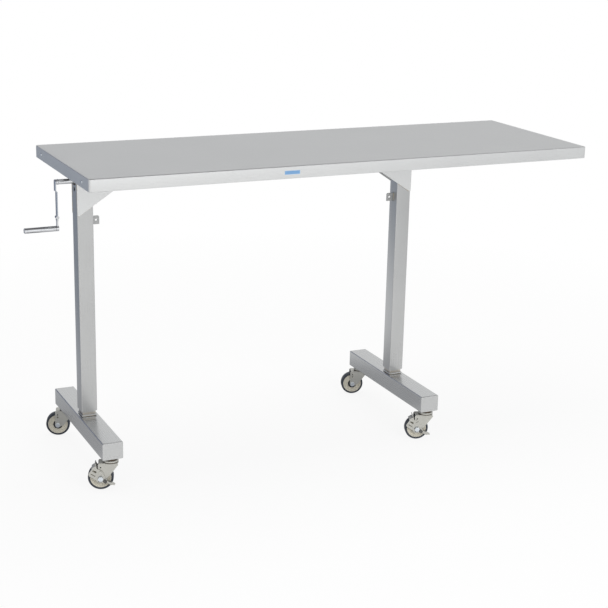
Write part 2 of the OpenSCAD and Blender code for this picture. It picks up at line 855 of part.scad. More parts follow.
// The hub: a rim under the tyre, a shallow dish with a groove, and a boss for the bearings
module hub() {
    rim_r = wheel_r - tyre_t;
    boss_r = bearing_d / 2 + 2;
    half = hub_w / 2;
    side = tyre_w / 2 - 0.5;
    dish = side - 1.2;
    groove_r = rim_r - 9;
    face = [[rim_r, side], [rim_r - 3, side], [rim_r - 4, dish], [groove_r + 2.5, dish],
        [groove_r + 2, dish - 0.8], [groove_r, dish - 0.8], [groove_r - 0.5, dish], [boss_r, dish],
        [boss_r, half], [axle_d / 2 + 1.5, half]];
    last = len(face) - 1;
    color(cream) translate([-trail, 0, wheel_r]) rotate([90, 0, 0]) difference() {
        rotate_extrude()
            polygon(concat(face, [for (i = [0:last]) [face[last - i][0], -face[last - i][1]]]));
        for (s = [0, 1])
            mirror([0, 0, s]) translate([0, 0, half - bearing_w])
                cylinder(d = bearing_d, h = bearing_w + 1);
    }
}

module bearings() {
    half = hub_w / 2;
    color(dark) translate([-trail, 0, wheel_r]) for (s = [-1, 1])
        translate([0, s * (half - bearing_w / 2), 0]) difference() {
            rod_y(-bearing_w / 2, bearing_w / 2, bearing_d);
            rod_y(-bearing_w, bearing_w, axle_d + 2 * run);
        }
}

module tyre() {
    rim_r = wheel_r - tyre_t;
    color(dark) translate([-trail, 0, wheel_r]) rotate([90, 0, 0]) rotate_extrude() {
        translate([rim_r, -tyre_w / 2]) square([tyre_t - tyre_r, tyre_w]);
        translate([rim_r, tyre_r - tyre_w / 2]) square([tyre_t, tyre_w - 2 * tyre_r]);
        for (s = [-1, 1])
            translate([wheel_r - tyre_r, s * (tyre_w / 2 - tyre_r)]) circle(r = tyre_r);
    }
}

// A brake lever: a side plate on its rivet, a shoe bent over the tread and a leaf as the pedal
module brake() {
    shoe_from = 106;
    shoe_to = 129;
    shoe_in = 8;
    flange = 8;
    boss_r = 13;
    arm_end = [-26, 12, 6.5];
    leaf = [[16, -6, 5], [28.5, -15.5, 3.5], [37, -15.5, 2.5]];
    rest = [[18.5, -2.8, lever_t / 2], [36.8, -13.8, lever_t / 2]];
    rest_out = 12;
    grip_slot = [10, 2.6];
    arm_slot = [11, 5];
    arm_tilt = 32;
    color(zinc) translate([-trail, 0, wheel_r]) {
        difference() {
            plate_y(-lever_out, -lever_y) {
                banded([[0, 0, 10.5], [0, rivet_up, 6], arm_end]);
                banded([[0, 0, boss_r], [0, rivet_up, 6]]);
                banded([[0, rivet_up, 6], concat(polar(wheel_r - 2, shoe_to - 6), 4.5), arm_end]);
                banded([[4, -2, 6], leaf[0]]);
                banded(leaf);
            }
            translate([0, 0, rivet_up]) rod_y(-lever_out - 1, 0, rivet_d + 2 * run);
            // The slot that the axle's shoulder runs in
            translate([0, 0, rivet_up]) plate_y(-lever_out - 1, 0)
                banded([[0, -rivet_up, slot_r], concat(rivet_up * -polar(1, 90 - brake_deg), slot_r)]);
            // A long slot and a short one in the plate's outer arm, and one below the axle's head
            translate([-20, 0, 10.5]) rotate([0, arm_tilt, 0]) cube([14, 4 * lever_out, 2.2], center = true);
            translate([-16, 0, 21]) rotate([0, arm_tilt, 0])
                cube([arm_slot[0], 4 * lever_out, arm_slot[1]], center = true);
            translate([-1.5, 0, -8.8]) cube([grip_slot[0], 4 * lever_out, grip_slot[1]], center = true);
        }
        // The shoe, an arc of a ring a little larger than the tread
        intersection() {
            difference() {
                rod_y(-lever_out, shoe_in, 2 * (shoe_r + shoe_t));
                rod_y(-lever_out - 1, shoe_in + 1, 2 * shoe_r);
            }
            plate_y(-lever_out, shoe_in)
                polygon([[0, 0], polar(2 * wheel_r, shoe_from), polar(2 * wheel_r, shoe_to)]);
        }
        // The flange that stiffens the shoe
        rotate([0, -shoe_from - 1, 0]) translate([shoe_r + shoe_t / 2, 0.5 - lever_y, 0])
            cube([flange, lever_y + shoe_in - 1, shoe_t]);
        // The strip that joins the plate to the shoe
        plate_y(-lever_out, -lever_y) polygon([
            polar(wheel_r - 6, shoe_from + 2), polar(shoe_r + shoe_t / 2, shoe_from + 2),
            polar(shoe_r + shoe_t / 2, shoe_to - 2), polar(wheel_r - 6, shoe_to - 2)]);
        // The foot rest, bent outwards along the leaf's upper edge
        plate_y(-lever_out - rest_out, -lever_out + lever_t / 2) banded(rest);
    }
}

// The rubber stop block on the lever, clear of the axle's head
module brake_pad() {
    color(dark) translate([-trail, 0, wheel_r]) translate([12, 0, -7.5]) rotate([0, 40, 0])
        translate([-5, -lever_out - 4.5, -4]) cube([10, 4.5, 8]);
}

module left_front_fork() at_caster(-1, -1) fork(true);
module left_front_axle() at_caster(-1, -1) axle(true);
module left_front_hub() at_caster(-1, -1) hub();
module left_front_bearings() at_caster(-1, -1) bearings();
module left_front_tyre() at_caster(-1, -1) tyre();
module left_back_fork() at_caster(-1, 1) fork(false);
module left_back_axle() at_caster(-1, 1) axle(false);
module left_back_hub() at_caster(-1, 1) hub();
module left_back_bearings() at_caster(-1, 1) bearings();
module left_back_tyre() at_caster(-1, 1) tyre();
module right_front_fork() at_caster(1, -1) fork(true);
module right_front_axle() at_caster(1, -1) axle(true);
module right_front_hub() at_caster(1, -1) hub();
module right_front_bearings() at_caster(1, -1) bearings();
module right_front_tyre() at_caster(1, -1) tyre();
module right_back_fork() at_caster(1, 1) fork(false);
module right_back_axle() at_caster(1, 1) axle(false);
module right_back_hub() at_caster(1, 1) hub();
module right_back_bearings() at_caster(1, 1) bearings();
module right_back_tyre() at_caster(1, 1) tyre();
module left_front_brake() at_caster(-1, -1) brake();
module left_front_brake_pad() at_caster(-1, -1) brake_pad();
module right_front_brake() at_caster(1, -1) brake();
module right_front_brake_pad() at_caster(1, -1) brake_pad();

table_top();
long_channel();
cross_channels();
left_column();
right_column();
gussets();
gear_plates();
thrust_bearings();
shaft_bushes();
lower_pads();
hook_tabs();
end_screws();
label_plate();
cross_shaft();
crank_arm();
shaft_gears();
grip_knuckle();
crank_grip();
left_lift_screw();
left_screw_gear();
right_lift_screw();
right_screw_gear();
left_beam();
left_beam_caps();
left_inner_tube();
left_stop_collar();
left_lift_nut();
left_upper_pad();
left_kingpins();
right_beam();
right_beam_caps();
right_inner_tube();
right_stop_collar();
right_lift_nut();
right_upper_pad();
right_kingpins();
left_front_fork();
left_front_axle();
left_front_hub();
left_front_bearings();
left_front_tyre();
left_back_fork();
left_back_axle();
left_back_hub();
left_back_bearings();
left_back_tyre();
right_front_fork();
right_front_axle();
right_front_hub();
right_front_bearings();
right_front_tyre();
right_back_fork();
right_back_axle();
right_back_hub();
right_back_bearings();
right_back_tyre();
left_front_brake();
left_front_brake_pad();
right_front_brake();
right_front_brake_pad();
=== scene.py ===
# %% [markdown]
# # An instrument table
# A folded steel top stands on two square columns that telescope out of two floor beams. A hand
# crank at the left end turns a cross shaft, and a mitre gear in each column turns a lift screw.
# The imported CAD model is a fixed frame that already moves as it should. This script gives it its
# looks: finishes for the nodes that stay, and finer pieces in the place of those that are too
# plain.

# %% Load the frame
import json
import math

import bmesh
import bpy
import numpy as np
from mathutils import Matrix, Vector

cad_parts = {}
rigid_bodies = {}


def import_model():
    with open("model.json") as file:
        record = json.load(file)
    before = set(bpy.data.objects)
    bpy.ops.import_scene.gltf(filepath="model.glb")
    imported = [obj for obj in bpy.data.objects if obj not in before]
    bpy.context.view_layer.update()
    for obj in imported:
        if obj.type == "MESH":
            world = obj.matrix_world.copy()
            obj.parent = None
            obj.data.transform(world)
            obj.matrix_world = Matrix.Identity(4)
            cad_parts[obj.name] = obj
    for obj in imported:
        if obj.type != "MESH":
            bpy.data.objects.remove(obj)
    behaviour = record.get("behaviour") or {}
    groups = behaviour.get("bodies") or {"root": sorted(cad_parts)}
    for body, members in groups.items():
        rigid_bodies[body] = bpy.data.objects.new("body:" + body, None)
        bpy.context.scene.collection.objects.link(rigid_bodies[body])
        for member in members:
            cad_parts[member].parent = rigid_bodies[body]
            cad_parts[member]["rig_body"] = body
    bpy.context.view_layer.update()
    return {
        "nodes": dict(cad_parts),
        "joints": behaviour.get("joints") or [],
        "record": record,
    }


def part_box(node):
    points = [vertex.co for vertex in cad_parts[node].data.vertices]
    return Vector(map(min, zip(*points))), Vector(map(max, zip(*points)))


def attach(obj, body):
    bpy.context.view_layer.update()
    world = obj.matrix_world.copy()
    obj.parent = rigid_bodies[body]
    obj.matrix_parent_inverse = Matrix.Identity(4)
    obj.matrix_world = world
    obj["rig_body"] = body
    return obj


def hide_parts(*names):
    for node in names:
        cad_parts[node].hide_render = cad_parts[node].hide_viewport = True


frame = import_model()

MM = 0.001
SIDES = ("left", "right")
joints = {joint["name"]: joint for joint in frame["joints"]}

# %% [markdown]
# ## The camera
# The camera stands where the photographer stood: in front of the table, to the left of it, and a
# little above it. Its place was fitted to points of the photograph, such as corners, beam ends and
# wheels. A long lens keeps the far end nearly as large as the near one.

# %% Camera
PHOTO_WIDTH = 608
CAMERA_PLACE = (-1.7057, -3.6282, 1.5820)
YAW, PITCH, ROLL = 0.44463, 0.28727, 0.02372
FOCAL_PX = 1402.39


def look(yaw, pitch, roll):
    """The camera's axes as columns: right, up and backwards. Forward turns by yaw from +Y towards
    +X and dips by pitch; roll turns right and up about it."""
    forward = np.array([math.sin(yaw) * math.cos(pitch), math.cos(yaw) * math.cos(pitch),
                        -math.sin(pitch)])
    level = np.array([math.cos(yaw), -math.sin(yaw), 0.0])
    upright = np.cross(level, forward)
    right = level * math.cos(roll) + upright * math.sin(roll)
    up = upright * math.cos(roll) - level * math.sin(roll)
    return np.column_stack([right, up, -forward])


def linked(name, data):
    """A new object in the scene."""
    thing = bpy.data.objects.new(name, data)
    bpy.context.scene.collection.objects.link(thing)
    return thing


def stand(thing, place, turn):
    """Puts an object at place, with the columns of turn as its axes."""
    pose = np.eye(4)
    pose[:3, :3] = turn
    pose[:3, 3] = place
    thing.matrix_world = Matrix(pose.tolist())


def make_camera(place, turn, focal_px):
    """A camera at place, in metres, whose focal length is given in the photograph's pixels."""
    data = bpy.data.cameras.new("photo_camera")
    data.sensor_width = 36.0
    data.lens = focal_px / PHOTO_WIDTH * data.sensor_width
    data.clip_end = 200.0
    camera = linked("photo_camera", data)
    stand(camera, place, turn)
    bpy.context.scene.camera = camera
    return camera


camera = make_camera(CAMERA_PLACE, look(YAW, PITCH, ROLL), FOCAL_PX)
print("Camera", tuple(round(c, 3) for c in camera.location),
      "lens", round(camera.data.lens, 2), "mm")

# %% [markdown]
# ## Writing shader maths
# A finish is a tree of nodes. Wiring it by hand takes many lines, so one small class wraps an
# output and lets Python's operators add the Math nodes, and one method adds any other node.

# %% Wires and finishes
class Wire:
    """One output of a node tree. Arithmetic on it adds Math nodes."""

    def __init__(self, maker, socket):
        self.maker, self.socket = maker, socket

    def maths(self, operation, first, second):
        return self.maker.add("ShaderNodeMath", {"operation": operation}, {0: first, 1: second})

    def other(self, label):
        """Another output of the same node."""
        return Wire(self.maker, self.socket.node.outputs[label])

    def __add__(self, other):
        return self.maths("ADD", self, other)

    def __sub__(self, other):
        return self.maths("SUBTRACT", self, other)

    def __rsub__(self, other):
        return self.maths("SUBTRACT", other, self)

    def __mul__(self, other):
        return self.maths("MULTIPLY", self, other)

    __radd__ = __add__
    __rmul__ = __mul__

    def at_least(self, low):
        return self.maths("MAXIMUM", self, low)

    def at_most(self, high):
        return self.maths("MINIMUM", self, high)

    def size(self):
        return self.maths("ABSOLUTE", self, 0.0)

    def spread(self, low, high):
        """0 where the wire is low, 1 where it is high, and a straight line between."""
        return ((self - low) * (1.0 / (high - low))).at_least(0.0).at_most(1.0)


class Maker:
    """A node tree that is being made. `add` makes one node and returns its output as a Wire."""

    def __init__(self, tree):
        self.tree = tree

    def add(self, kind, settings=None, inputs=None, out=0):
        node = self.tree.nodes.new(kind)
        for label, value in (settings or {}).items():
            if label == "stops":
                for element, (place, grey) in zip(node.color_ramp.elements, value):
                    element.position = place
                    element.color = (grey, grey, grey, 1.0)
            else:
                setattr(node, label, value)
        for label, value in (inputs or {}).items():
            if isinstance(value, Wire):
                self.tree.links.new(value.socket, node.inputs[label])
            else:
                node.inputs[label].default_value = value
        return Wire(self, node.outputs[out])

    def ramp(self, wire, *stops):
        """A grey ramp. Each of its two stops is a place and a grey."""
        return self.add("ShaderNodeValToRGB", {"stops": stops}, {"Fac": wire})

    def blend(self, share, first, second):
        """A mix of two colours. Either may be a Wire."""
        one, two = (c if isinstance(c, Wire) else (*c, 1.0) for c in (first, second))
        return self.add("ShaderNodeMix", {"data_type": "RGBA"}, {0: share, 6: one, 7: two}, out=2)


class Finish(Maker):
    """A material that is being made, round one Principled shader."""

    def __init__(self, name, colour, metallic=0.0, roughness=0.5, **sockets):
        self.material = bpy.data.materials.new(name)
        self.material.use_nodes = True
        super().__init__(self.material.node_tree)
        self.shader = self.tree.nodes["Principled BSDF"]
        self.colour = tuple(colour)
        self.set("Base Color", (*colour, 1.0))
        self.set("Metallic", metallic)
        self.set("Roughness", roughness)
        for label, value in sockets.items():
            self.set(label.replace("_", " "), value)
        self.material.diffuse_color = (*colour, 1.0)

    def set(self, label, value):
        """Sets a socket of the shader to a number, or links a Wire to it."""
        socket = self.shader.inputs[label]
        if isinstance(value, Wire):
            self.tree.links.new(value.socket, socket)
        else:
            socket.default_value = value

    def place(self, scale=(1.0, 1.0, 1.0), centre=(0.0, 0.0, 0.0)):
        """Object coordinates in metres, measured from centre and then stretched."""
        here = self.add("ShaderNodeTexCoord", out=3)
        shift = tuple(-c * s for c, s in zip(centre, scale))
        return self.add("ShaderNodeMapping",
                        inputs={"Vector": here, "Location": shift, "Scale": scale})

    def noise(self, scale, detail=3.0, stretch=(1.0, 1.0, 1.0)):
        """A soft random value. scale is the number of spots in a metre, before stretch."""
        inputs = {"Vector": self.place(stretch), "Scale": scale, "Detail": detail}
        return self.add("ShaderNodeTexNoise", inputs=inputs)

    def wander(self, share, amount):
        """Lets the colour go from darker to lighter, by amount each way, as share says."""
        dark, light = lighter(self.colour, 1.0 - amount), lighter(self.colour, 1.0 + amount)
        self.set("Base Color", self.blend(share, dark, light))

    def bump(self, height, strength, distance):
        """A bumped normal. distance is the height, in metres, of a full step."""
        inputs = {"Height": height, "Strength": strength, "Distance": distance}
        return self.add("ShaderNodeBump", inputs=inputs)


def lighter(colour, by):
    """A colour made lighter, or darker where by is under 1."""
    return tuple(min(1.0, c * by) for c in colour)


print("Shader helpers ready")

# %% [markdown]
# ## Satin stainless steel
# The top, the columns and the beams are belt-ground: fine scratches run along each length. Noise
# stretched along the grain gives those scratches, and a coarse noise gives the slow changes where
# the belt was fresh or worn, and where hands have been. Both change the colour by a few percent
# only, because the eye reads this metal from its reflections.

# %% Satin steel
STEEL = (0.52, 0.525, 0.525)
# Spots in a metre, across the grain and along it
SCRATCHES = (900.0, 9.0)
HAIRS = (2600.0, 40.0)


def grained(grain, spots):
    """The stretch of a noise whose spots are long along the axis grain."""
    return [spots[1] if axis == grain else spots[0] for axis in range(3)]


def satin(name, colour, grain, roughness):
    """Ground steel. grain is the axis, 0, 1 or 2, that the scratches follow."""
    finish = Finish(name, colour, metallic=1.0, roughness=roughness)
    scratches = finish.noise(1.0, 2.0, grained(grain, SCRATCHES))
    hairs = finish.noise(1.0, 1.0, grained(grain, HAIRS))
    clouds = finish.noise(7.0, 3.0)
    finish.wander(scratches * 0.5 + clouds * 0.5, 0.08)
    finish.set("Roughness", roughness - 0.09 + scratches * 0.1 + clouds * 0.08)
    finish.set("Normal", finish.bump(scratches + hairs * 0.5, 0.22, 0.00004))
    return finish


def heat_tint(finish, height, width):
    """A straw band that a weld leaves on the steel, at this height in metres."""
    up = finish.add("ShaderNodeSeparateXYZ", inputs={0: finish.place()}, out=2)
    ragged = finish.noise(220.0, 2.0) * width * 0.8
    near = 1.0 - ((up - height).size() + ragged - width * 0.4) * (1.0 / width)
    share = near.at_least(0.0).at_most(1.0) * TINT
    straw = finish.blend(share, finish.colour, STRAW)
    ground = Wire(finish, finish.shader.inputs["Base Color"].links[0].from_socket)
    finish.set("Base Color", finish.blend(share, ground, straw))
    return finish


STRAW = (0.44, 0.31, 0.13)
TINT = 0.6
foot_z = float(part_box("left_beam")[1][2])
# Painted light and shade: each part's copy of the steel is lighter or darker than STEEL by its
# factor, set to how bright that part comes out in the light.
steels = {
    "sheet": satin("satin_sheet", lighter(STEEL, 1.33), 0, 0.46),
    "column": satin("satin_column", lighter(STEEL, 0.96), 2, 0.30),
    "inner": heat_tint(satin("satin_inner_tube", STEEL, 2, 0.30), foot_z + 0.008, 0.009),
    "beam": satin("satin_beam", lighter(STEEL, 1.12), 1, 0.27),
    "channel": satin("satin_channel", lighter(STEEL, 0.9), 0, 0.42),
    "plate": satin("satin_plate", lighter(STEEL, 1.3), 0, 0.48),
    "cap": satin("satin_cap", lighter(STEEL, 1.02), 0, 0.44),
    "tab": satin("satin_tab", lighter(STEEL, 0.73), 0, 0.40),
}
print("Steels:", ", ".join(steels))

# %% [markdown]
# ## Weld metal, plating and machined steel
# A weld is duller than the sheet and shows frozen ripples with patches of straw. The casters are
# zinc plated: pale, a little warm and faintly mottled. The crank's arm is plated too, its shaft
# and grip are polished, and the pieces inside are machined steel or bronze.

# %% Other metals
def mottled(name, colour, roughness, size, metallic=1.0, amount=0.1, depth=0.15):
    """A metal whose shade wanders in soft spots of about 1 / size metres."""
    finish = Finish(name, colour, metallic=metallic, roughness=roughness)
    spots = finish.noise(size, 4.0)
    finish.wander(spots, amount)
    finish.set("Roughness", roughness - 0.06 + spots * 0.12)
    finish.set("Normal", finish.bump(finish.noise(size * 14.0, 2.0), depth, 0.00005))
    return finish


def weld_metal():
    """Rippled weld metal with patches of straw."""
    colour = (0.40, 0.39, 0.37)
    finish = Finish("weld_metal", colour, metallic=1.0, roughness=0.38)
    patches = finish.ramp(finish.noise(160.0, 2.0), (0.38, 0.0), (0.62, 1.0))
    finish.set("Base Color", finish.blend(patches, colour, (0.50, 0.42, 0.30)))
    finish.set("Normal", finish.bump(finish.noise(1800.0, 2.0), 0.3, 0.0001))
    return finish


metals = {
    "weld": weld_metal(),
    "zinc": mottled("pale_zinc", (0.49, 0.485, 0.45), 0.30, 60.0, metallic=0.85, amount=0.07),
    # Painted shade: a dark brown for the swivels' neck and race, where the gap under the beam lies
    # in shadow.
    "brown": mottled("painted_shade_race", (0.085, 0.06, 0.04), 0.38, 140.0, metallic=0.6, amount=0.3),
    "arm": mottled("plated_arm", (0.42, 0.45, 0.50), 0.20, 60.0, amount=0.05),
    "bright": mottled("bright_plate", (0.66, 0.70, 0.74), 0.22, 90.0, amount=0.06),
    "chrome": mottled("polished_chrome", (0.60, 0.61, 0.63), 0.10, 30.0, amount=0.04, depth=0.008),
    "machined": mottled("machined_steel", (0.36, 0.37, 0.38), 0.32, 200.0, amount=0.1),
    "bronze": mottled("bearing_bronze", (0.45, 0.27, 0.09), 0.34, 150.0, amount=0.14),
    "oiled": mottled("oiled_bush", (0.16, 0.14, 0.12), 0.4, 150.0, amount=0.14),
}
print("Metals:", ", ".join(metals))

# %% [markdown]
# ## Plastics and rubber
# The wheel centres are cream nylon, the treads a dark elastic with a bluish cast, the seals of
# the bearings black, the stops of the brakes grey, and the pads inside the columns natural nylon.
# The pads at the columns' feet are black too: a painted shadow line between column and collar.
# The small plate on the rim is bare: plain blue lacquer with a paler edge.

# %% Plastics and rubber
def moulded(name, colour, roughness, size, amount=0.08, depth=0.2):
    """A moulded surface: a fine skin, and a shade that wanders a little."""
    finish = Finish(name, colour, roughness=roughness)
    clouds = finish.noise(size, 3.0)
    finish.wander(clouds, amount)
    finish.set("Roughness", roughness - 0.07 + clouds * 0.14)
    finish.set("Normal", finish.bump(finish.noise(size * 30.0, 2.0), depth, 0.00003))
    return finish


LABEL_EDGE = 0.0012
# How fast the label's face turns into its edge, in 1 / metres
LABEL_CRISP = 4000.0


def plain_label():
    """Plain lacquer in one colour, with a paler border and nothing written on it."""
    low, high = (np.array(corner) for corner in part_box("label_plate"))
    middle, half = (low + high) / 2, (high - low) / 2
    face, edge = (0.16, 0.33, 0.58), (0.52, 0.62, 0.72)
    finish = Finish("label_lacquer", face, roughness=0.3, Coat_Weight=0.3)
    split = finish.add("ShaderNodeSeparateXYZ", inputs={0: finish.place(centre=tuple(middle))})
    side = (split.size() - (half[0] - LABEL_EDGE)) * LABEL_CRISP
    rim = (split.other(2).size() - (half[2] - LABEL_EDGE)) * LABEL_CRISP
    border = side.at_least(rim).at_least(0.0).at_most(1.0)
    finish.set("Base Color", finish.blend(border, face, edge))
    finish.set("Roughness", 0.24 + finish.noise(300.0, 2.0) * 0.12)
    return finish


plastics = {
    "hub": moulded("cream_nylon", (0.62, 0.59, 0.50), 0.42, 45.0),
    "tyre": moulded("dark_tread", (0.035, 0.042, 0.055), 0.55, 60.0, amount=0.25, depth=0.35),
    # Black for the bearings' seals, and a painted shade where it makes a dark line: the pads at the
    # columns' feet and the bar in each lever's slot.
    "seal": moulded("black_seal_and_shade", (0.012, 0.012, 0.014), 0.45, 120.0),
    "stop": moulded("grey_rubber", (0.10, 0.10, 0.098), 0.6, 150.0),
    "pad": moulded("natural_nylon", (0.72, 0.71, 0.66), 0.5, 40.0),
    "label": plain_label(),
}
print("Plastics:", ", ".join(plastics))

# %% [markdown]
# ## Softened copies of plain solids
# Sheet, tube and stampings never have knife edges. The CAD solids do, so a copy of such a node is
# merged, its flat faces are joined, and a small bevel rounds its edges. A bevel catches a thin
# line of light, which is most of what tells the eye that a thing is metal.

# %% Softened copies
SHARP = math.radians(35.0)


def settle(mesh):
    """Smooth shading, with edges that turn by more than SHARP kept crisp."""
    mesh.shade_smooth()
    mesh.set_sharp_from_angle(angle=SHARP)


def keep(piece, body, slot, finish, replaces=()):
    """Puts a new piece into the scene: its finish, its body and what it stands for."""
    piece.data.materials.clear()
    piece.data.materials.append(finish.material)
    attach(piece, body)
    if replaces:
        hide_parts(*replaces)
    return piece


def merged_copy(node, name):
    """A copy of a node's mesh with its loose triangles joined and its flat faces made whole."""
    source = frame["nodes"][node].data
    corners = np.empty(len(source.vertices) * 3)
    source.vertices.foreach_get("co", corners)
    triangles = np.empty(len(source.loops), dtype=np.int64)
    source.loops.foreach_get("vertex_index", triangles)
    mesh = bpy.data.meshes.new(name)
    mesh.from_pydata(corners.reshape(-1, 3).tolist(), [], triangles.reshape(-1, 3).tolist())
    work = bmesh.new()
    work.from_mesh(mesh)
    bmesh.ops.remove_doubles(work, verts=work.verts, dist=2e-6)
    bmesh.ops.dissolve_limit(work, angle_limit=math.radians(0.6), verts=work.verts,
                             edges=work.edges)
    work.to_mesh(mesh)
    work.free()
    return linked(name, mesh)


def body_of(node):
    return frame["nodes"][node]["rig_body"]


def slot_of(node):
    return next(p["material_slot"] for p in frame["record"]["subparts"] if p["node"] == node)


def soften(node, finish, radius_mm, steps=2):
    """A softened copy of a node, in its place."""
    piece = merged_copy(node, node + "_soft")
    settle(piece.data)
    bevel = piece.modifiers.new("softened_edges", "BEVEL")
    bevel.width = radius_mm * MM
    bevel.segments = steps
    bevel.limit_method = "ANGLE"
    bevel.angle_limit = SHARP
    bevel.harden_normals = True
    return keep(piece, body_of(node), slot_of(node), finish, [node])


def dress(node, finish):
    """Gives a node that stays its finish."""
    for place in frame["nodes"][node].material_slots:
        place.material = finish.material


for node, finish, radius in (
    ("long_channel", steels["channel"], 0.5), ("cross_channels", steels["channel"], 0.5),
    ("left_column", steels["column"], 0.4), ("right_column", steels["column"], 0.4),
    ("gussets", steels["plate"], 0.35), ("hook_tabs", steels["tab"], 0.4),
    ("shaft_bushes", metals["oiled"], 0.3), ("label_plate", plastics["label"], 0.12),
    ("crank_arm", metals["arm"], 0.5), ("grip_knuckle", metals["chrome"], 0.4),
):
    soften(node, finish, radius)
for side in SIDES:
    soften(side + "_beam", steels["beam"], 0.4)
    soften(side + "_inner_tube", steels["inner"], 0.3)
    soften(side + "_stop_collar", steels["plate"], 0.5)
    soften(side + "_front_fork", metals["zinc"], 0.5)
    soften(side + "_back_fork", metals["zinc"], 0.5)
    soften(side + "_front_brake", metals["zinc"], 0.35)
    soften(side + "_front_brake_pad", plastics["stop"], 0.9, 3)
    dress(side + "_screw_gear", metals["machined"])
    dress(side + "_lift_nut", metals["bronze"])
    dress(side + "_upper_pad", plastics["pad"])
# The pads at the columns' feet take the seals' black: a painted shadow line under each column.
for node, finish in (("gear_plates", metals["machined"]), ("thrust_bearings", metals["machined"]),
                     ("lower_pads", plastics["seal"]), ("shaft_gears", metals["machined"])):
    dress(node, finish)

# %% [markdown]
# ## Surfaces from formulas
# The rest is new. Each shape is a grid of points, ring after ring, worked out as whole numpy
# arrays in millimetres. A small collector joins neighbouring rings with faces, closes the ends,
# merges seams and poles, and turns all faces outwards.

# %% A collector of surfaces
class Shell:
    """Gathers grids of points into one mesh. A shape may have several separate shells."""

    def __init__(self):
        self.points, self.faces, self.count = [], [], 0

    def add(self, rings, loop=False):
        """rings[j, i] is point i of ring j. Each ring is closed. The first and last rings get a
        flat end, or are joined to each other where loop is true."""
        rows, around, _ = rings.shape
        self.points.append(rings.reshape(-1, 3))
        index = np.arange(rows * around).reshape(rows, around) + self.count
        here = index if loop else index[:-1]
        there = np.roll(index, -1, axis=0) if loop else index[1:]
        quads = np.stack([here, np.roll(here, -1, axis=1), np.roll(there, -1, axis=1), there],
                         axis=-1)
        self.faces += quads.reshape(-1, 4).tolist()
        if not loop:
            self.faces += [index[0, ::-1].tolist(), index[-1].tolist()]
        self.count += rows * around
        return self

    def piece(self, name):
        """The gathered shapes as one object in the scene."""
        mesh = bpy.data.meshes.new(name)
        mesh.from_pydata((np.concatenate(self.points) * MM).tolist(), [], self.faces)
        work = bmesh.new()
        work.from_mesh(mesh)
        bmesh.ops.remove_doubles(work, verts=work.verts, dist=1e-6)
        bmesh.ops.dissolve_degenerate(work, edges=work.edges, dist=1e-7)
        bmesh.ops.recalc_face_normals(work, faces=work.faces)
        work.to_mesh(mesh)
        work.free()
        settle(mesh)
        return linked(name, mesh)


def in_mm(node):
    """A node's lowest and highest corners in millimetres."""
    return tuple(np.array(corner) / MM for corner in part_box(node))


X, Y, Z = np.eye(3)


def unit(vector):
    """The vector of length 1 in the same direction."""
    return np.asarray(vector, float) / np.linalg.norm(vector)


def arc(centre, radius, start, end, steps=6):
    """Points on an arc, each centre plus radius times the cosine and sine of its angle."""
    turn = np.radians(np.linspace(start, end, steps + 1))
    return np.column_stack([centre[0] + radius * np.cos(turn), centre[1] + radius * np.sin(turn)])


def spokes(axis, spare, sides):
    """The angles of a full circle, and the unit vectors round axis at them. They start across X,
    or across spare where the axis is nearly X."""
    aside = unit(np.cross(axis, X if abs(axis[0]) < 0.8 else spare))
    turn = np.linspace(0, 2 * np.pi, sides, endpoint=False)
    return turn, np.cos(turn)[:, None] * aside + np.sin(turn)[:, None] * np.cross(axis, aside)


def turned(profile, centre, axis, sides=72):
    """A surface of revolution. A profile point (r, h) goes round the axis: centre + h times the
    axis + r times a unit vector that turns through a full circle."""
    profile = np.asarray(profile, float)
    axis = unit(axis)
    spoke = spokes(axis, Y, sides)[1]
    return np.asarray(centre) + profile[:, 1, None, None] * axis + profile[:, 0, None, None] * spoke


# Where a nut's chamfer starts, as a share of half its width across flats
CHAMFER = 0.96
CHAMFER_SLOPE = math.tan(math.radians(30))


def hexed(steps, centre, axis, sides=72):
    """As turned, but a point (r, h, share) lies between a circle of radius r, share 0, and the
    hexagon round it, share 1, whose radius is r over the cosine of the angle from its flat. Where
    share is negative the point lies on that hexagon and is cut by a 30 degree cone, as a nut is."""
    axis = unit(axis)
    turn, spoke = spokes(axis, Z, sides)
    flat = 1 / np.cos((turn + np.pi / 6) % (np.pi / 3) - np.pi / 6)
    rings = []
    for r, h, share in steps:
        radius = r * (1 + abs(share) * (flat - 1))
        height = np.full(sides, float(h))
        if share < 0:
            height -= (radius - CHAMFER * r) * CHAMFER_SLOPE
        rings.append(np.asarray(centre) + height[:, None] * axis + radius[:, None] * spoke)
    return np.array(rings)


print("Surface helpers ready")

# %% [markdown]
# ## The folded top
# The real top is one sheet, folded down at its four edges and turned in again at the bottom for
# a safe lip. Its shape is one profile carried round a rectangle with rounded corners: from the
# middle of the top out over the bend, down the rim, in under the lip, and back along the inside.

# %% The folded top
def rounded_path(half_x, half_y, radius, steps=8):
    """A rectangle with rounded corners, as a closed ring of points."""
    radius = max(radius, 0.05)
    corners = [((half_x - radius) * sx, (half_y - radius) * sy, start)
               for sx, sy, start in ((1, 1, 0), (-1, 1, 90), (-1, -1, 180), (1, -1, 270))]
    return np.concatenate([arc((cx, cy), radius, start, start + 90, steps)
                           for cx, cy, start in corners])


def raised(flat, x, y, z):
    """A flat outline moved by x and y, at height z."""
    return np.column_stack([flat[:, 0] + x, flat[:, 1] + y, np.full(len(flat), z)])


def framed(profile, centre, half_x, half_y, radius, steps=8):
    """Each profile point (inset, height) becomes a ring: the rounded rectangle drawn in by inset,
    its corners tighter by the same amount, at that height."""
    rings = []
    for inset, height in profile:
        flat = rounded_path(half_x - inset, half_y - inset, radius - inset, steps)
        rings.append(raised(flat, centre[0], centre[1], centre[2] + height))
    return np.array(rings)


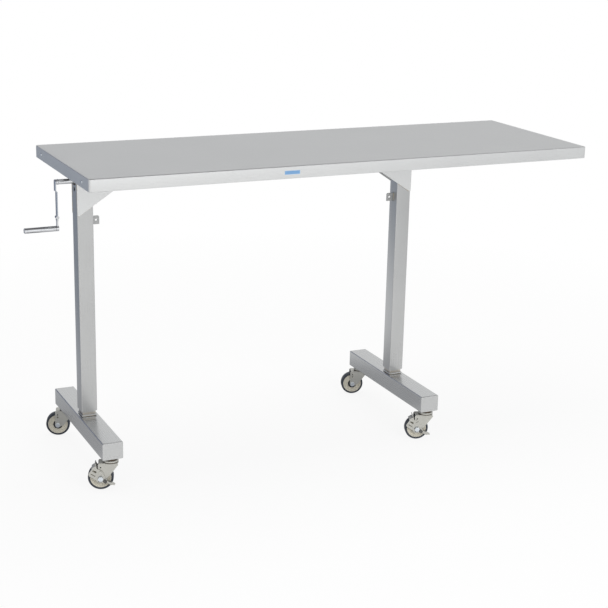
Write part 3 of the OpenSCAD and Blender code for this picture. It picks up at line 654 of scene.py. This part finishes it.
def folded_top():
    """The sheet's two sides as one profile. inner and outer are rings on the flat top."""
    low, high = in_mm("table_top")
    sheet, bend, corner, lip, fold, soft = 1.5, 2.5, 9.0, 12.0, 1.6, 0.4
    inner, outer = 60, 14
    tall = high[2] - low[2]
    outside = np.concatenate([
        [[inner, tall], [outer, tall]], arc((bend, tall - bend), bend, 90, 180, 6),
        arc((fold, fold), fold, 180, 270, 5), [[lip - soft, 0.0], [lip, soft]]])
    inside = np.concatenate([
        [[lip, sheet - soft], [lip - soft, sheet]], [[sheet + soft, sheet], [sheet, sheet + soft]],
        arc((bend, tall - bend), bend - sheet, 180, 90, 4),
        [[outer, tall - sheet], [inner, tall - sheet]]])
    middle, half = (low + high) / 2, (high - low) / 2
    rings = framed(np.concatenate([outside, inside]), (middle[0], middle[1], low[2]),
                   half[0], half[1], corner)
    return Shell().add(rings).piece("folded_top")


top = keep(folded_top(), "table", "top_sheet", steels["sheet"], ["table_top"])

# %% [markdown]
# ## End caps of the floor beams
# Each beam is closed by a cap with an evenly rolled edge. It is the same kind of framed profile
# as the top, turned so that it faces along the beam.

# %% End caps
CAP_THICK = 2.5


def beam_cap(shell, centre, half_x, half_z, outward):
    """A cap whose face looks along +Y or -Y, as outward says, with an edge rolled to 1.4 mm."""
    roll = 1.4
    profile = np.concatenate([[[0.0, 0.0]], arc((roll, CAP_THICK - roll), roll, 180, 90, 5),
                              [[6.0, CAP_THICK]]])
    rings = framed(profile, (0, 0, 0), half_x, half_z, 3.0, 6)
    x, z, depth = rings[..., 0], rings[..., 1], rings[..., 2]
    shell.add(np.stack([centre[0] + x, centre[1] + outward * depth, centre[2] + z], axis=-1))


for side in SIDES:
    low, high = in_mm(side + "_beam_caps")
    caps = Shell()
    for outward, y in ((-1, low[1] + CAP_THICK), (1, high[1] - CAP_THICK)):
        beam_cap(caps, ((low[0] + high[0]) / 2, y, (low[2] + high[2]) / 2),
                 (high[0] - low[0]) / 2, (high[2] - low[2]) / 2, outward)
    keep(caps.piece(side + "_rolled_caps"), side + "_base", "plate", steels["cap"],
         [side + "_beam_caps"])
print("Caps on both beams")

# %% [markdown]
# ## Wheels
# A wheel is a tread on a moulded centre that runs on two sealed bearings. All of it is turned
# round the axle, and the joint in the frame says where the axle is and which way it points.

# %% Wheels
CASTERS = [(side, end) for side in SIDES for end in ("front", "back")]


def both_faces(half):
    """A closed profile from its upper half, (r, h) from outside to inside, mirrored in h = 0."""
    half = np.asarray(half, float)
    return np.concatenate([half, half[::-1] * [1, -1]])


def roll_axis(name):
    """The middle of a caster's wheel in millimetres, and the direction of its axle."""
    joint = joints[name + "_roll"]
    return np.array(joint["pos_m"]) / MM, unit(joint["axis"])


def wheel_pieces(name):
    """Tread, centre, and the races and seals of both bearings."""
    centre, axis = roll_axis(name)
    low, high = in_mm(name + "_tyre")
    r = (high[2] - low[2]) / 2
    tread = both_faces(np.concatenate([
        [[r, 0.25], [r - 0.12, 0.5], [r - 0.02, 2.5]], arc((r - 3, 8), 3 - 0.02, 0, 90, 7),
        [[r - 3.6, 11.0], [r - 3.8, 10.75], [r - 4.1, 10.75], [r - 4.3, 11.0],
         [r - 5.7, 11.0], [r - 6, 10.8]]]))
    centre_disc = both_faces([
        [29, 10.1], [28.6, 10.5], [26.6, 10.5], [25.9, 10.2], [25.3, 9.4], [24.7, 9.3], [23.2, 9.3],
        [22.7, 9.1], [22.3, 8.5], [20.3, 8.5], [19.9, 9.1], [19.4, 9.3], [18.7, 9.3], [18.5, 9.55],
        [18.0, 9.55], [17.8, 9.3], [16.7, 9.3], [16.1, 9.7], [16, 11.6], [15.6, 12], [14, 12],
        [14, 4], [5.5, 4]])
    race = np.array([[4.05, 4.1], [8.0, 4.1], [8.0, 11.65], [7.65, 12], [4.4, 12], [4.05, 11.65]])
    seal = np.array([[8.0, 4.1], [13.95, 4.1], [13.95, 11.6], [13.6, 11.95], [12.7, 11.95],
                     [12.4, 11.6], [9.2, 11.6], [8.9, 11.8], [8.0, 11.8]])
    wheel = name + "_wheel"
    keep(Shell().add(turned(tread, centre, axis, 120), loop=True).piece(name + "_tread"),
         wheel, "tyre", plastics["tyre"], [name + "_tyre"])
    disc = Shell().add(turned(centre_disc, centre, axis, 96), loop=True)
    keep(disc.piece(name + "_wheel_centre"), wheel, "hub", plastics["hub"], [name + "_hub"])
    rings, seals = Shell(), Shell()
    for face in (-1, 1):
        rings.add(turned(race * [1, face], centre, axis, 64), loop=True)
        seals.add(turned(seal * [1, face], centre, axis, 64), loop=True)
    keep(seals.piece(name + "_seals"), wheel, "seal", plastics["seal"], [name + "_bearings"])
    keep(rings.piece(name + "_races"), wheel, "seal", metals["machined"])


for side, end in CASTERS:
    wheel_pieces(side + "_" + end)
print("Wheels:", len(CASTERS))

# %% [markdown]
# ## Axles
# A bolt with a hexagonal head goes through fork and wheel, and a nut holds it. The 30 degree cone
# that chamfers a real head leaves curved lines on its flats, which the hexagon formula gives by
# itself. A shallow zigzag stands for the turns of the thread that show past the nut. A brake's
# lever has a slot below the head, and a black bar fills it: a painted shade for the dark slot.

# %% Axles
# Half the width of head and nut across their flats, and the bolt's radius
HEX_HALF = 6.5
BOLT_R = 4.0
# Where the thread starts and where the bolt ends, from the wheel's middle
THREAD_FROM = 22.5
BOLT_END = 25.0


def hex_block(shell, foot, axis, height):
    """A bolt head or nut that stands on foot and rises along axis."""
    shell.add(hexed([(0.0, 0.0, 0), (HEX_HALF, 0.0, 1), (HEX_HALF, height, -1),
                     (HEX_HALF * CHAMFER, height, 0), (HEX_HALF * 0.9, height, 0),
                     (0.0, height, 0)], foot, axis))


def thread_profile(start, end, crest, root, pitch):
    """A zigzag between root and crest from start to end."""
    turns = int(round((end - start) / pitch))
    heights = start + (end - start) * np.arange(2 * turns + 1) / (2 * turns)
    radii = np.where(np.arange(2 * turns + 1) % 2 == 0, root, crest)
    return np.column_stack([radii, heights])


def axle_piece(name, braked):
    """Bolt, nut and spacers. Where a lever lies on the fork, the head sits on a step beyond it."""
    centre, axis = roll_axis(name)
    cheek = 16.5
    head = 19.3 if braked else cheek
    shell = Shell()
    shell.add(turned(np.concatenate([
        [[0, -head], [BOLT_R, -head], [BOLT_R, THREAD_FROM]],
        thread_profile(THREAD_FROM, BOLT_END - 0.4, BOLT_R, BOLT_R - 0.35, 0.7),
        [[BOLT_R - 0.7, BOLT_END], [0, BOLT_END]]]), centre, axis, 48))
    if braked:
        shell.add(turned([[0, -head], [4.9, -head], [4.9, -cheek], [0, -cheek]], centre, axis, 48))
    hex_block(shell, centre - axis * head, -axis, 5.5)
    hex_block(shell, centre + axis * cheek, axis, 6.5)
    for face in (-1, 1):
        shell.add(turned(np.array([[4.0, 12.4], [6.0, 12.4], [6.0, 14.0], [4.0, 14.0]]) * [1, face],
                         centre, axis, 48), loop=True)
    keep(shell.piece(name + "_bolt"), name + "_fork", "bright", metals["bright"], [name + "_axle"])


def lever_slot_shade(name):
    """A painted shade for the lever's slot below the axle's head: a dark rounded bar across the
    axle.
    """
    centre, axis = roll_axis(name)
    aside = np.cross(axis, Z)
    rings = []
    for inset, out in ((0.4, 18.8), (0.0, 18.4), (0.0, 17.0)):
        flat = rounded_path(4.9 - inset, 1.25 - inset, 0.6, 3)
        rings.append(centre + (flat[:, :1] - 1.5) * aside + (flat[:, 1:] - 8.8) * Z - out * axis)
    slot_shade = Shell().add(np.array(rings)).piece(name + "_buffer")
    # Painted shade: the bar is black so that the slot reads dark.
    keep(slot_shade, name + "_brake", "stop", plastics["seal"])


for side, end in CASTERS:
    axle_piece(side + "_" + end, end == "front")
    if end == "front":
        lever_slot_shade(side + "_front")
print("Axles:", len(CASTERS))

# %% [markdown]
# ## Swivel seats
# Under each beam sits the fixed half of a swivel: a welded neck, a pressed cup over the balls and
# the riveted end of the kingpin. The cup's shoulder is rounded by its press tool. The neck and the
# race between the cup and the fork are painted dark brown: painted shade for the shadowed gap under
# the beam and its dark reflection.

# %% Swivel seats
def swivel_seat(shell, rings, x, y):
    """Cup and kingpin turned round the swivel's axis, the nut inside the beam, and into rings the
    neck and the race, which wear a painted shade of dark brown."""
    foot = np.array([x, y, 0.0])
    shell.add(turned(np.concatenate([
        [[0, 86], [17.8, 86]], arc((19.1, 83.6), 2.4, 90, 0, 5),
        [[21.5, 81.2], [21.0, 80.9], [20.4, 80.8], [0, 80.8]]]), foot, Z, 96))
    rings.add(turned([[0, 91], [17.5, 91], [17.5, 86.4], [17.2, 86.0], [0, 86.0]], foot, Z, 96))
    rings.add(turned([[0, 80.8], [20.2, 80.8], [20.4, 80.4], [20.4, 79.2], [20.2, 79.0],
                      [0, 79.0]], foot, Z, 96))
    shell.add(turned([[0, 79.0], [6, 79.0], [6, 75.2], [9.4, 75.2], [10, 74.7], [9.6, 73.4],
                      [8.4, 72.7], [0, 72.7]], foot, Z, 64))
    shell.add(turned([[0, 90.9], [6, 90.9], [6, 104.0], [5.3, 104.6], [0, 104.6]], foot, Z, 48))
    shell.add(hexed([(0, 93.5, 0), (9.1, 93.5, 1), (9.1, 101.5, -1), (8.7, 101.5, 0),
                     (0, 101.5, 0)], foot, Z))


for side in SIDES:
    seats, races = Shell(), Shell()
    for end in ("front", "back"):
        x, y, _ = np.array(joints[side + "_" + end + "_swivel"]["pos_m"]) / MM
        swivel_seat(seats, races, x, y)
    # The neck and the race wear a painted shade of dark brown.
    keep(races.piece(side + "_swivel_races"), side + "_base", "zinc", metals["brown"])
    keep(seats.piece(side + "_swivel_seats"), side + "_base", "zinc", metals["zinc"],
         [side + "_kingpins"])
print("Swivel seats under both beams")

# %% [markdown]
# ## Cross shaft and grip
# The shaft is a polished bar with chamfered ends and a groove with a spring clip at its far end.
# The grip is a turned sleeve that spins on its spindle: a rounded end, a fine groove near each
# end, and a small countersunk screw that keeps it on.

# %% Cross shaft and grip
low, high = in_mm("cross_shaft")
shaft_r = (high[2] - low[2]) / 2
shaft_middle = np.array([0.0, (low[1] + high[1]) / 2, (low[2] + high[2]) / 2])
near, far = low[0], high[0]
shaft = Shell().add(turned([[0, near], [shaft_r - 0.8, near], [shaft_r, near + 0.8],
                            [shaft_r, far - 2.2], [shaft_r - 0.9, far - 2.2],
                            [shaft_r - 0.9, far - 1.3], [shaft_r, far - 1.3], [shaft_r, far - 0.8],
                            [shaft_r - 0.8, far], [0, far]], shaft_middle, X, 64))
keep(shaft.piece("polished_shaft"), "crank", "chromed", metals["chrome"], ["cross_shaft"])
clip = Shell().add(turned([[shaft_r - 0.8, far - 2.15], [shaft_r + 3, far - 2.15],
                           [shaft_r + 3, far - 1.35], [shaft_r - 0.8, far - 1.35]],
                          shaft_middle, X, 64), loop=True)
keep(clip.piece("shaft_clip"), "crank", "machined", metals["machined"])

low, high = in_mm("crank_grip")
grip_r, length = (high[2] - low[2]) / 2, high[0] - low[0]
grip_root = np.array([high[0], (low[1] + high[1]) / 2, (low[2] + high[2]) / 2])
rounding = 3.2
grip = Shell().add(turned(np.concatenate([
    [[3.55, 0], [grip_r - 0.6, 0], [grip_r, 0.6]],
    [[grip_r, 5.0], [grip_r - 0.4, 5.3], [grip_r - 0.4, 6.1], [grip_r, 6.4]],
    [[grip_r, length - 8.4], [grip_r - 0.4, length - 8.1], [grip_r - 0.4, length - 7.3],
     [grip_r, length - 7.0]],
    arc((grip_r - rounding, length - rounding), rounding, 0, 90, 8),
    [[3.4, length], [2.9, length - 0.5], [2.9, length - 1.2], [0, length - 1.2],
     [0, length - 4.0], [3.55, length - 4.0]]]), grip_root, -X, 72), loop=True)
keep(grip.piece("polished_grip"), "grip", "chromed", metals["chrome"], ["crank_grip"])
print("Shaft", round(far - near), "mm, grip", round(length), "mm")

# %% [markdown]
# ## Lift screws
# The screws carry the whole top, so they have a coarse thread with three starts: one turn lifts
# it by 12 mm. The radius dips where the point's height, less its share of a turn, falls between
# two crests.

# %% Lift screws
# How far the screw's shoulder lies below the cross shaft
SHOULDER_DROP = 46.0


def lift_screw(node, body):
    """A screw with its thread, a chamfered foot, a shoulder and the neck that holds the gear."""
    low, high = in_mm(node)
    x, y = (low[:2] + high[:2]) / 2
    lead, starts, deep, crest = 12.0, 3, 1.9, 8.0
    shoulder = float(joints["left_screw_turn"]["pos_m"][2]) / MM - SHOULDER_DROP
    heights = np.arange(low[2] + 2.0, shoulder - 4.0, 1.0)
    turn = np.linspace(0, 2 * np.pi, 30, endpoint=False)
    phase = (heights[:, None] / lead - turn / (2 * np.pi)) * starts % 1.0
    cut = np.clip(np.minimum(phase, 1 - phase) * 6 - 0.9, 0, 1)
    radius = crest - deep * cut
    rings = np.stack([x + radius * np.cos(turn), y + radius * np.sin(turn),
                      np.broadcast_to(heights[:, None], radius.shape)], axis=-1)
    shell = Shell().add(rings)
    shell.add(turned([[0, low[2]], [5, low[2]], [6.2, low[2] + 2.1], [0, low[2] + 2.1]],
                     (x, y, 0), Z, 30))
    shell.add(turned([[0, shoulder - 4.1], [6, shoulder - 4.1], [6, shoulder], [11.6, shoulder],
                      [12, shoulder + 0.4], [12, shoulder + 4.6], [11.6, shoulder + 5],
                      [6, shoulder + 5], [6, high[2] - 0.5], [5.5, high[2]], [0, high[2]]],
                     (x, y, 0), Z, 48))
    return keep(shell.piece(node + "_threaded"), body, "machined", metals["machined"], [node])


for side in SIDES:
    piece = lift_screw(side + "_lift_screw", side + "_screw")
print("Lift screws:", len(piece.data.polygons), "faces each")

# %% [markdown]
# ## Screws in the rim
# Two button-head screws hold the left end of the rim to the channel behind it. The dome is
# turned, and the socket in it is a hexagon.

# %% Screws in the rim
BUTTON_R, BUTTON_H = 4.75, 2.4
low, high = in_mm("end_screws")
screws = Shell()
for y in (low[1] + BUTTON_R, high[1] - BUTTON_R):
    seat = np.array([low[0] + BUTTON_H, y, (low[2] + high[2]) / 2])
    screws.add(hexed([(0, -7.4, 0), (2.1, -7.4, 0), (2.45, -7.0, 0), (2.45, 0, 0), (4.6, 0, 0),
                      (BUTTON_R, 0.15, 0), (BUTTON_R, 0.5, 0), (4.55, 1.05, 0), (4.1, 1.6, 0),
                      (3.4, 2.1, 0), (2.6, 2.36, 0), (2.0, BUTTON_H, 0), (1.55, 2.3, 1),
                      (1.5, 0.9, 1), (0.9, 0.75, 0), (0, 0.5, 0)], seat, -X, 48))
keep(screws.piece("rim_screws"), "table", "bright", metals["bright"], ["end_screws"])
print("Rim screws:", 2)

# %% [markdown]
# ## Weld beads
# Tubes, plates and necks are welded, and a bead runs along each joint. A bead is a thin rod with
# the ripples of the frozen pool on it, half sunk into the corner that it fills. Its radius swells
# a little with each ripple along the path.

# %% Weld beads
COLUMN_HALF = 22.5
# The corner plates' length and drop, less the top's sheet, and the blunt tip at their ends
PLATE_LEN, PLATE_DROP, PLATE_TIP = 220, 147.5, 6
# The foot and the head of the tabs' slots
TAB_FOOT, TAB_HEAD = 691, 713


def path_points(corners, pitch, closed=False):
    """Points at about equal steps along straight lines from corner to corner."""
    corners = np.asarray(corners, float)
    ends = np.roll(corners, -1, axis=0) if closed else corners[1:]
    starts = corners if closed else corners[:-1]
    runs = []
    for start, end in zip(starts, ends):
        steps = max(2, int(np.linalg.norm(end - start) / pitch))
        runs.append(start + (end - start) * np.arange(steps)[:, None] / steps)
    return np.concatenate(runs if closed else runs + [corners[-1:]])


def bead(shell, corners, radius, away, closed=False, sides=8):
    """A rippled rod along a path. away is a direction that the path never follows. The radius is
    multiplied by 0.88 to 1.0 along each ripple, and tapers at the two ends of an open bead."""
    path = path_points(corners, 0.8, closed)
    ahead = np.roll(path, -1, axis=0) - np.roll(path, 1, axis=0)
    if not closed:
        ahead[0], ahead[-1] = path[1] - path[0], path[-1] - path[-2]
    ahead /= np.linalg.norm(ahead, axis=1)[:, None]
    upward = np.cross(ahead, unit(away))
    upward /= np.linalg.norm(upward, axis=1)[:, None]
    aside = np.cross(ahead, upward)
    step = np.arange(len(path))
    swell = 0.94 + 0.06 * np.cos(step * np.pi / 1.5)
    if not closed:
        swell = swell * np.clip(np.minimum(step, step[::-1]) / 3 + 0.35, 0.35, 1)
    turn = np.linspace(0, 2 * np.pi, sides, endpoint=False)
    spoke = np.cos(turn)[:, None] * upward[:, None] + np.sin(turn)[:, None] * aside[:, None]
    shell.add(path[:, None] + radius * swell[:, None, None] * spoke, loop=closed)


def square_at(x, y, z, half):
    """The outline of a square tube with rounded corners, at height z."""
    return raised(rounded_path(half, half, 2.0, 4), x, y, z)


def circle_at(centre, radius, axis):
    """A circle of 24 points round an axis."""
    return turned([[radius, 0.0]], centre, axis, 24)[0]


def base_welds(side):
    """The foot of the inner tube, and the necks of both casters, on one beam."""
    shell = Shell()
    low, high = in_mm(side + "_inner_tube")
    x, y = (low[:2] + high[:2]) / 2
    bead(shell, square_at(x, y, low[2] + 0.2, (high[0] - low[0]) / 2 + 0.2), 1.1, Z, closed=True)
    for end in ("front", "back"):
        px, py, _ = np.array(joints[side + "_" + end + "_swivel"]["pos_m"]) / MM
        bead(shell, circle_at((px, py, 90.6), 17.7, Z), 1.1, Z, closed=True)
    keep(shell.piece(side + "_base_welds"), side + "_base", "tube", metals["weld"])


def table_welds():
    """Column heads under the channel, corner plates on the columns, and tabs in their slots."""
    shell = Shell()
    plate_low, plate_high = in_mm("gussets")
    for side, way in zip(SIDES, (1, -1)):
        low, high = in_mm(side + "_column")
        x = (low[0] + high[0]) / 2
        bead(shell, square_at(x, 0.0, high[2] - 0.5, COLUMN_HALF + 0.2), 1.5, Z, closed=True)
        edge = x - way * COLUMN_HALF
        rise = (PLATE_DROP - PLATE_TIP) / (PLATE_LEN - PLATE_TIP)
        foot, head = plate_low[2], plate_high[2] - 0.4
        for face in (-1, 1):
            side_x, side_y = edge + way * 0.3, face * COLUMN_HALF
            bead(shell, [[side_x, side_y, foot + 2], [side_x, side_y, high[2] - 4]], 1.0, X)
            front = face * (COLUMN_HALF + 0.1)
            bead(shell, [[edge + way * 0.5, front, foot], [edge + way * PLATE_TIP, front, foot],
                         [edge + way * 44.5, front, foot + 38.5 * rise]], 1.3, Y)
            bead(shell, [[edge + way * 46, face * 24, head], [edge + way * 216, face * 24, head]],
                 1.9, Z)
        tab_x = x + way * COLUMN_HALF
        for face in (-1, 1):
            bead(shell, [[tab_x, face * 1.6, TAB_FOOT], [tab_x, face * 1.6, TAB_HEAD]], 0.8, X)
    keep(shell.piece("table_welds"), "table", "tube", metals["weld"])


for side in SIDES:
    base_welds(side)
table_welds()
crank_weld = Shell()
arm_face = in_mm("crank_arm")[1][0]
shaft_edge = circle_at((arm_face, 0, shaft_middle[2]), shaft_r + 0.1, X)
bead(crank_weld, shaft_edge, 1.0, X, closed=True)
keep(crank_weld.piece("crank_weld"), "crank", "chromed", metals["chrome"])
print("Weld beads laid")

# %% [markdown]
# ## The room that metal mirrors
# Polished metal would look like paper in a room that is white all round. So mirror-like rays see
# a room with a dark ceiling and a dark, cool screen at the back left, which gives the metal its
# dark edges, and a soft box in front, which gives it its lights. The floor has its own tones for
# such rays. The camera sees it as white, and it keeps the shadow of the table.

# %% The room and the floor
SOFT_BOX = 3.2
FLOOR_WHITE = 0.88
FLOOR_RADIUS = 60


def mirror_ray(rays):
    """1 for a ray that metal or glass sends on, and 0 for any other."""
    return rays.other("Is Glossy Ray").at_least(rays.other("Is Transmission Ray"))


def room_tone(maker, direction):
    """The colour of the room in a direction: a long, low soft box in front, white walls, a little
    greyer behind the table and along the horizon in front, a dark blue screen at the back left,
    and a dark ceiling."""
    x = maker.add("ShaderNodeSeparateXYZ", inputs={0: direction})
    y, z = x.other(1), x.other(2)
    in_front = (0.0 - y).spread(-0.2, 0.2)
    white = maker.blend(z.spread(-0.36, -0.16) * in_front, (1.0, 1.0, 0.995), (0.86, 0.865, 0.87))
    white = maker.blend(z.spread(-0.05, 0.1) * y.spread(0.0, 0.3), white, (0.85, 0.855, 0.86))
    box = z.spread(-0.06, 0.02) * (1.0 - z.spread(0.08, 0.16)) * in_front
    box = box * x.spread(-0.5, -0.2) * (1.0 - x.spread(0.32, 0.58))
    white = maker.blend(box, white, (SOFT_BOX, SOFT_BOX, SOFT_BOX))
    screen = maker.blend(z.spread(-0.06, 0.10), (0.45, 0.50, 0.57), (0.10, 0.12, 0.21))
    left = 0.0 - x
    behind = left.spread(-0.12, 0.2) * (1.0 - left.spread(0.32, 0.55) * 0.45) * y.spread(-0.1, 0.4)
    side = maker.blend(behind, white, screen)
    return maker.blend(z.spread(0.6, 0.85), side, (0.16, 0.155, 0.16))


def floor_tone(maker, here):
    """The colour of the floor where metal mirrors it: white in front, a little grey far out at
    the right, grey in the shade under the table, and cooler and darker far out at the back left."""
    x = maker.add("ShaderNodeSeparateXYZ", inputs={0: here})
    y = x.other(1)
    back = maker.blend(x.spread(-1.9, -1.3), (0.36, 0.40, 0.47), (0.27, 0.30, 0.36))
    back = maker.blend(x.spread(-1.25, -0.4), back, (0.94, 0.95, 0.96))
    back = maker.blend(x.spread(0.6, 1.4), back, (1.0, 1.0, 0.995))
    back = maker.blend(y.spread(0.4, 0.8), (0.43, 0.435, 0.45), back)
    right = x.spread(0.9, 1.7) * (1.0 - y.spread(-1.3, -0.95))
    front = maker.blend(right, (1.0, 1.0, 0.995), (0.80, 0.805, 0.81))
    return maker.blend(y.spread(-0.3, 0.05), front, back)


def white_floor():
    """A matt floor that glows for the camera, more with distance, and shows metal its tones."""
    finish = Finish("white_floor", (0.82, 0.82, 0.82), roughness=0.9)
    here = finish.place()
    far = finish.add("ShaderNodeVectorMath", {"operation": "LENGTH"}, {0: here}, out=1)
    rays = finish.add("ShaderNodeLightPath")
    glossy = mirror_ray(rays)
    tone = finish.blend(glossy, (1.0, 1.0, 1.0), floor_tone(finish, here))
    glow = finish.add("ShaderNodeEmission", inputs={"Color": tone, "Strength": 1.0})
    near = FLOOR_WHITE + far.spread(1.0, 2.6) * (1.0 - FLOOR_WHITE)
    share = (rays * near).at_least(glossy)
    matt = Wire(finish, finish.shader.outputs[0])
    mixed = finish.add("ShaderNodeMixShader", inputs={0: share, 1: matt, 2: glow})
    finish.tree.links.new(mixed.socket, finish.tree.nodes["Material Output"].inputs["Surface"])
    return finish


ring = np.linspace(0, 2 * np.pi, 96, endpoint=False)
floor_mesh = bpy.data.meshes.new("floor")
disc = np.column_stack([FLOOR_RADIUS * np.cos(ring), FLOOR_RADIUS * np.sin(ring),
                        np.full(len(ring), -0.0002)])
floor_mesh.from_pydata(disc.tolist(), [], [list(range(len(ring)))])
floor = linked("floor", floor_mesh)
floor_mesh.materials.append(white_floor().material)
print("Floor laid")

# %% [markdown]
# ## World
# The camera sees the world as white, and metal sees the room. All other rays get AMBIENT, an even
# and moderate light at which a colour comes out about as it is written.

# %% World
AMBIENT = 0.62
bpy.context.scene.world = bpy.data.worlds.new("studio")
bpy.context.scene.world.use_nodes = True
sky = Maker(bpy.context.scene.world.node_tree)
rays = sky.add("ShaderNodeLightPath")
mirror = mirror_ray(rays)
tone = sky.blend(rays, (AMBIENT, AMBIENT, AMBIENT), (1.0, 1.0, 1.0))
tone = sky.blend(mirror, tone, room_tone(sky, sky.add("ShaderNodeTexCoord", out=0)))
background = sky.tree.nodes["Background"]
sky.tree.links.new(tone.socket, background.inputs["Color"])
print("World ready")

# %% [markdown]
# ## Lamps
# A large lamp in front lights the rim and the columns, and one overhead lights the top and lays
# the shadow. Both are white, soft and hidden from mirror-like rays, which see the room instead.

# %% Lamps
def soft_lamp(name, place, target, size, watts):
    """A rectangular area lamp at place that looks at target."""
    data = bpy.data.lights.new(name, "AREA")
    data.shape = "RECTANGLE"
    data.size, data.size_y = size
    data.energy = watts
    lamp = linked(name, data)
    back = unit(np.array(place) - target)
    side = unit(np.cross(Z, back))
    stand(lamp, place, np.column_stack([side, np.cross(back, side), back]))
    return lamp


for lamp in (soft_lamp("front_key", (0.6, -3.6, 1.7), (-0.2, 0.0, 0.6), (2.0, 1.8), 60.0),
             soft_lamp("overhead", (0.0, 0.4, 3.4), (0.0, 0.0, 0.6), (3.0, 2.0), 45.0)):
    lamp.visible_glossy = False
bpy.context.scene.view_settings.view_transform = "Standard"
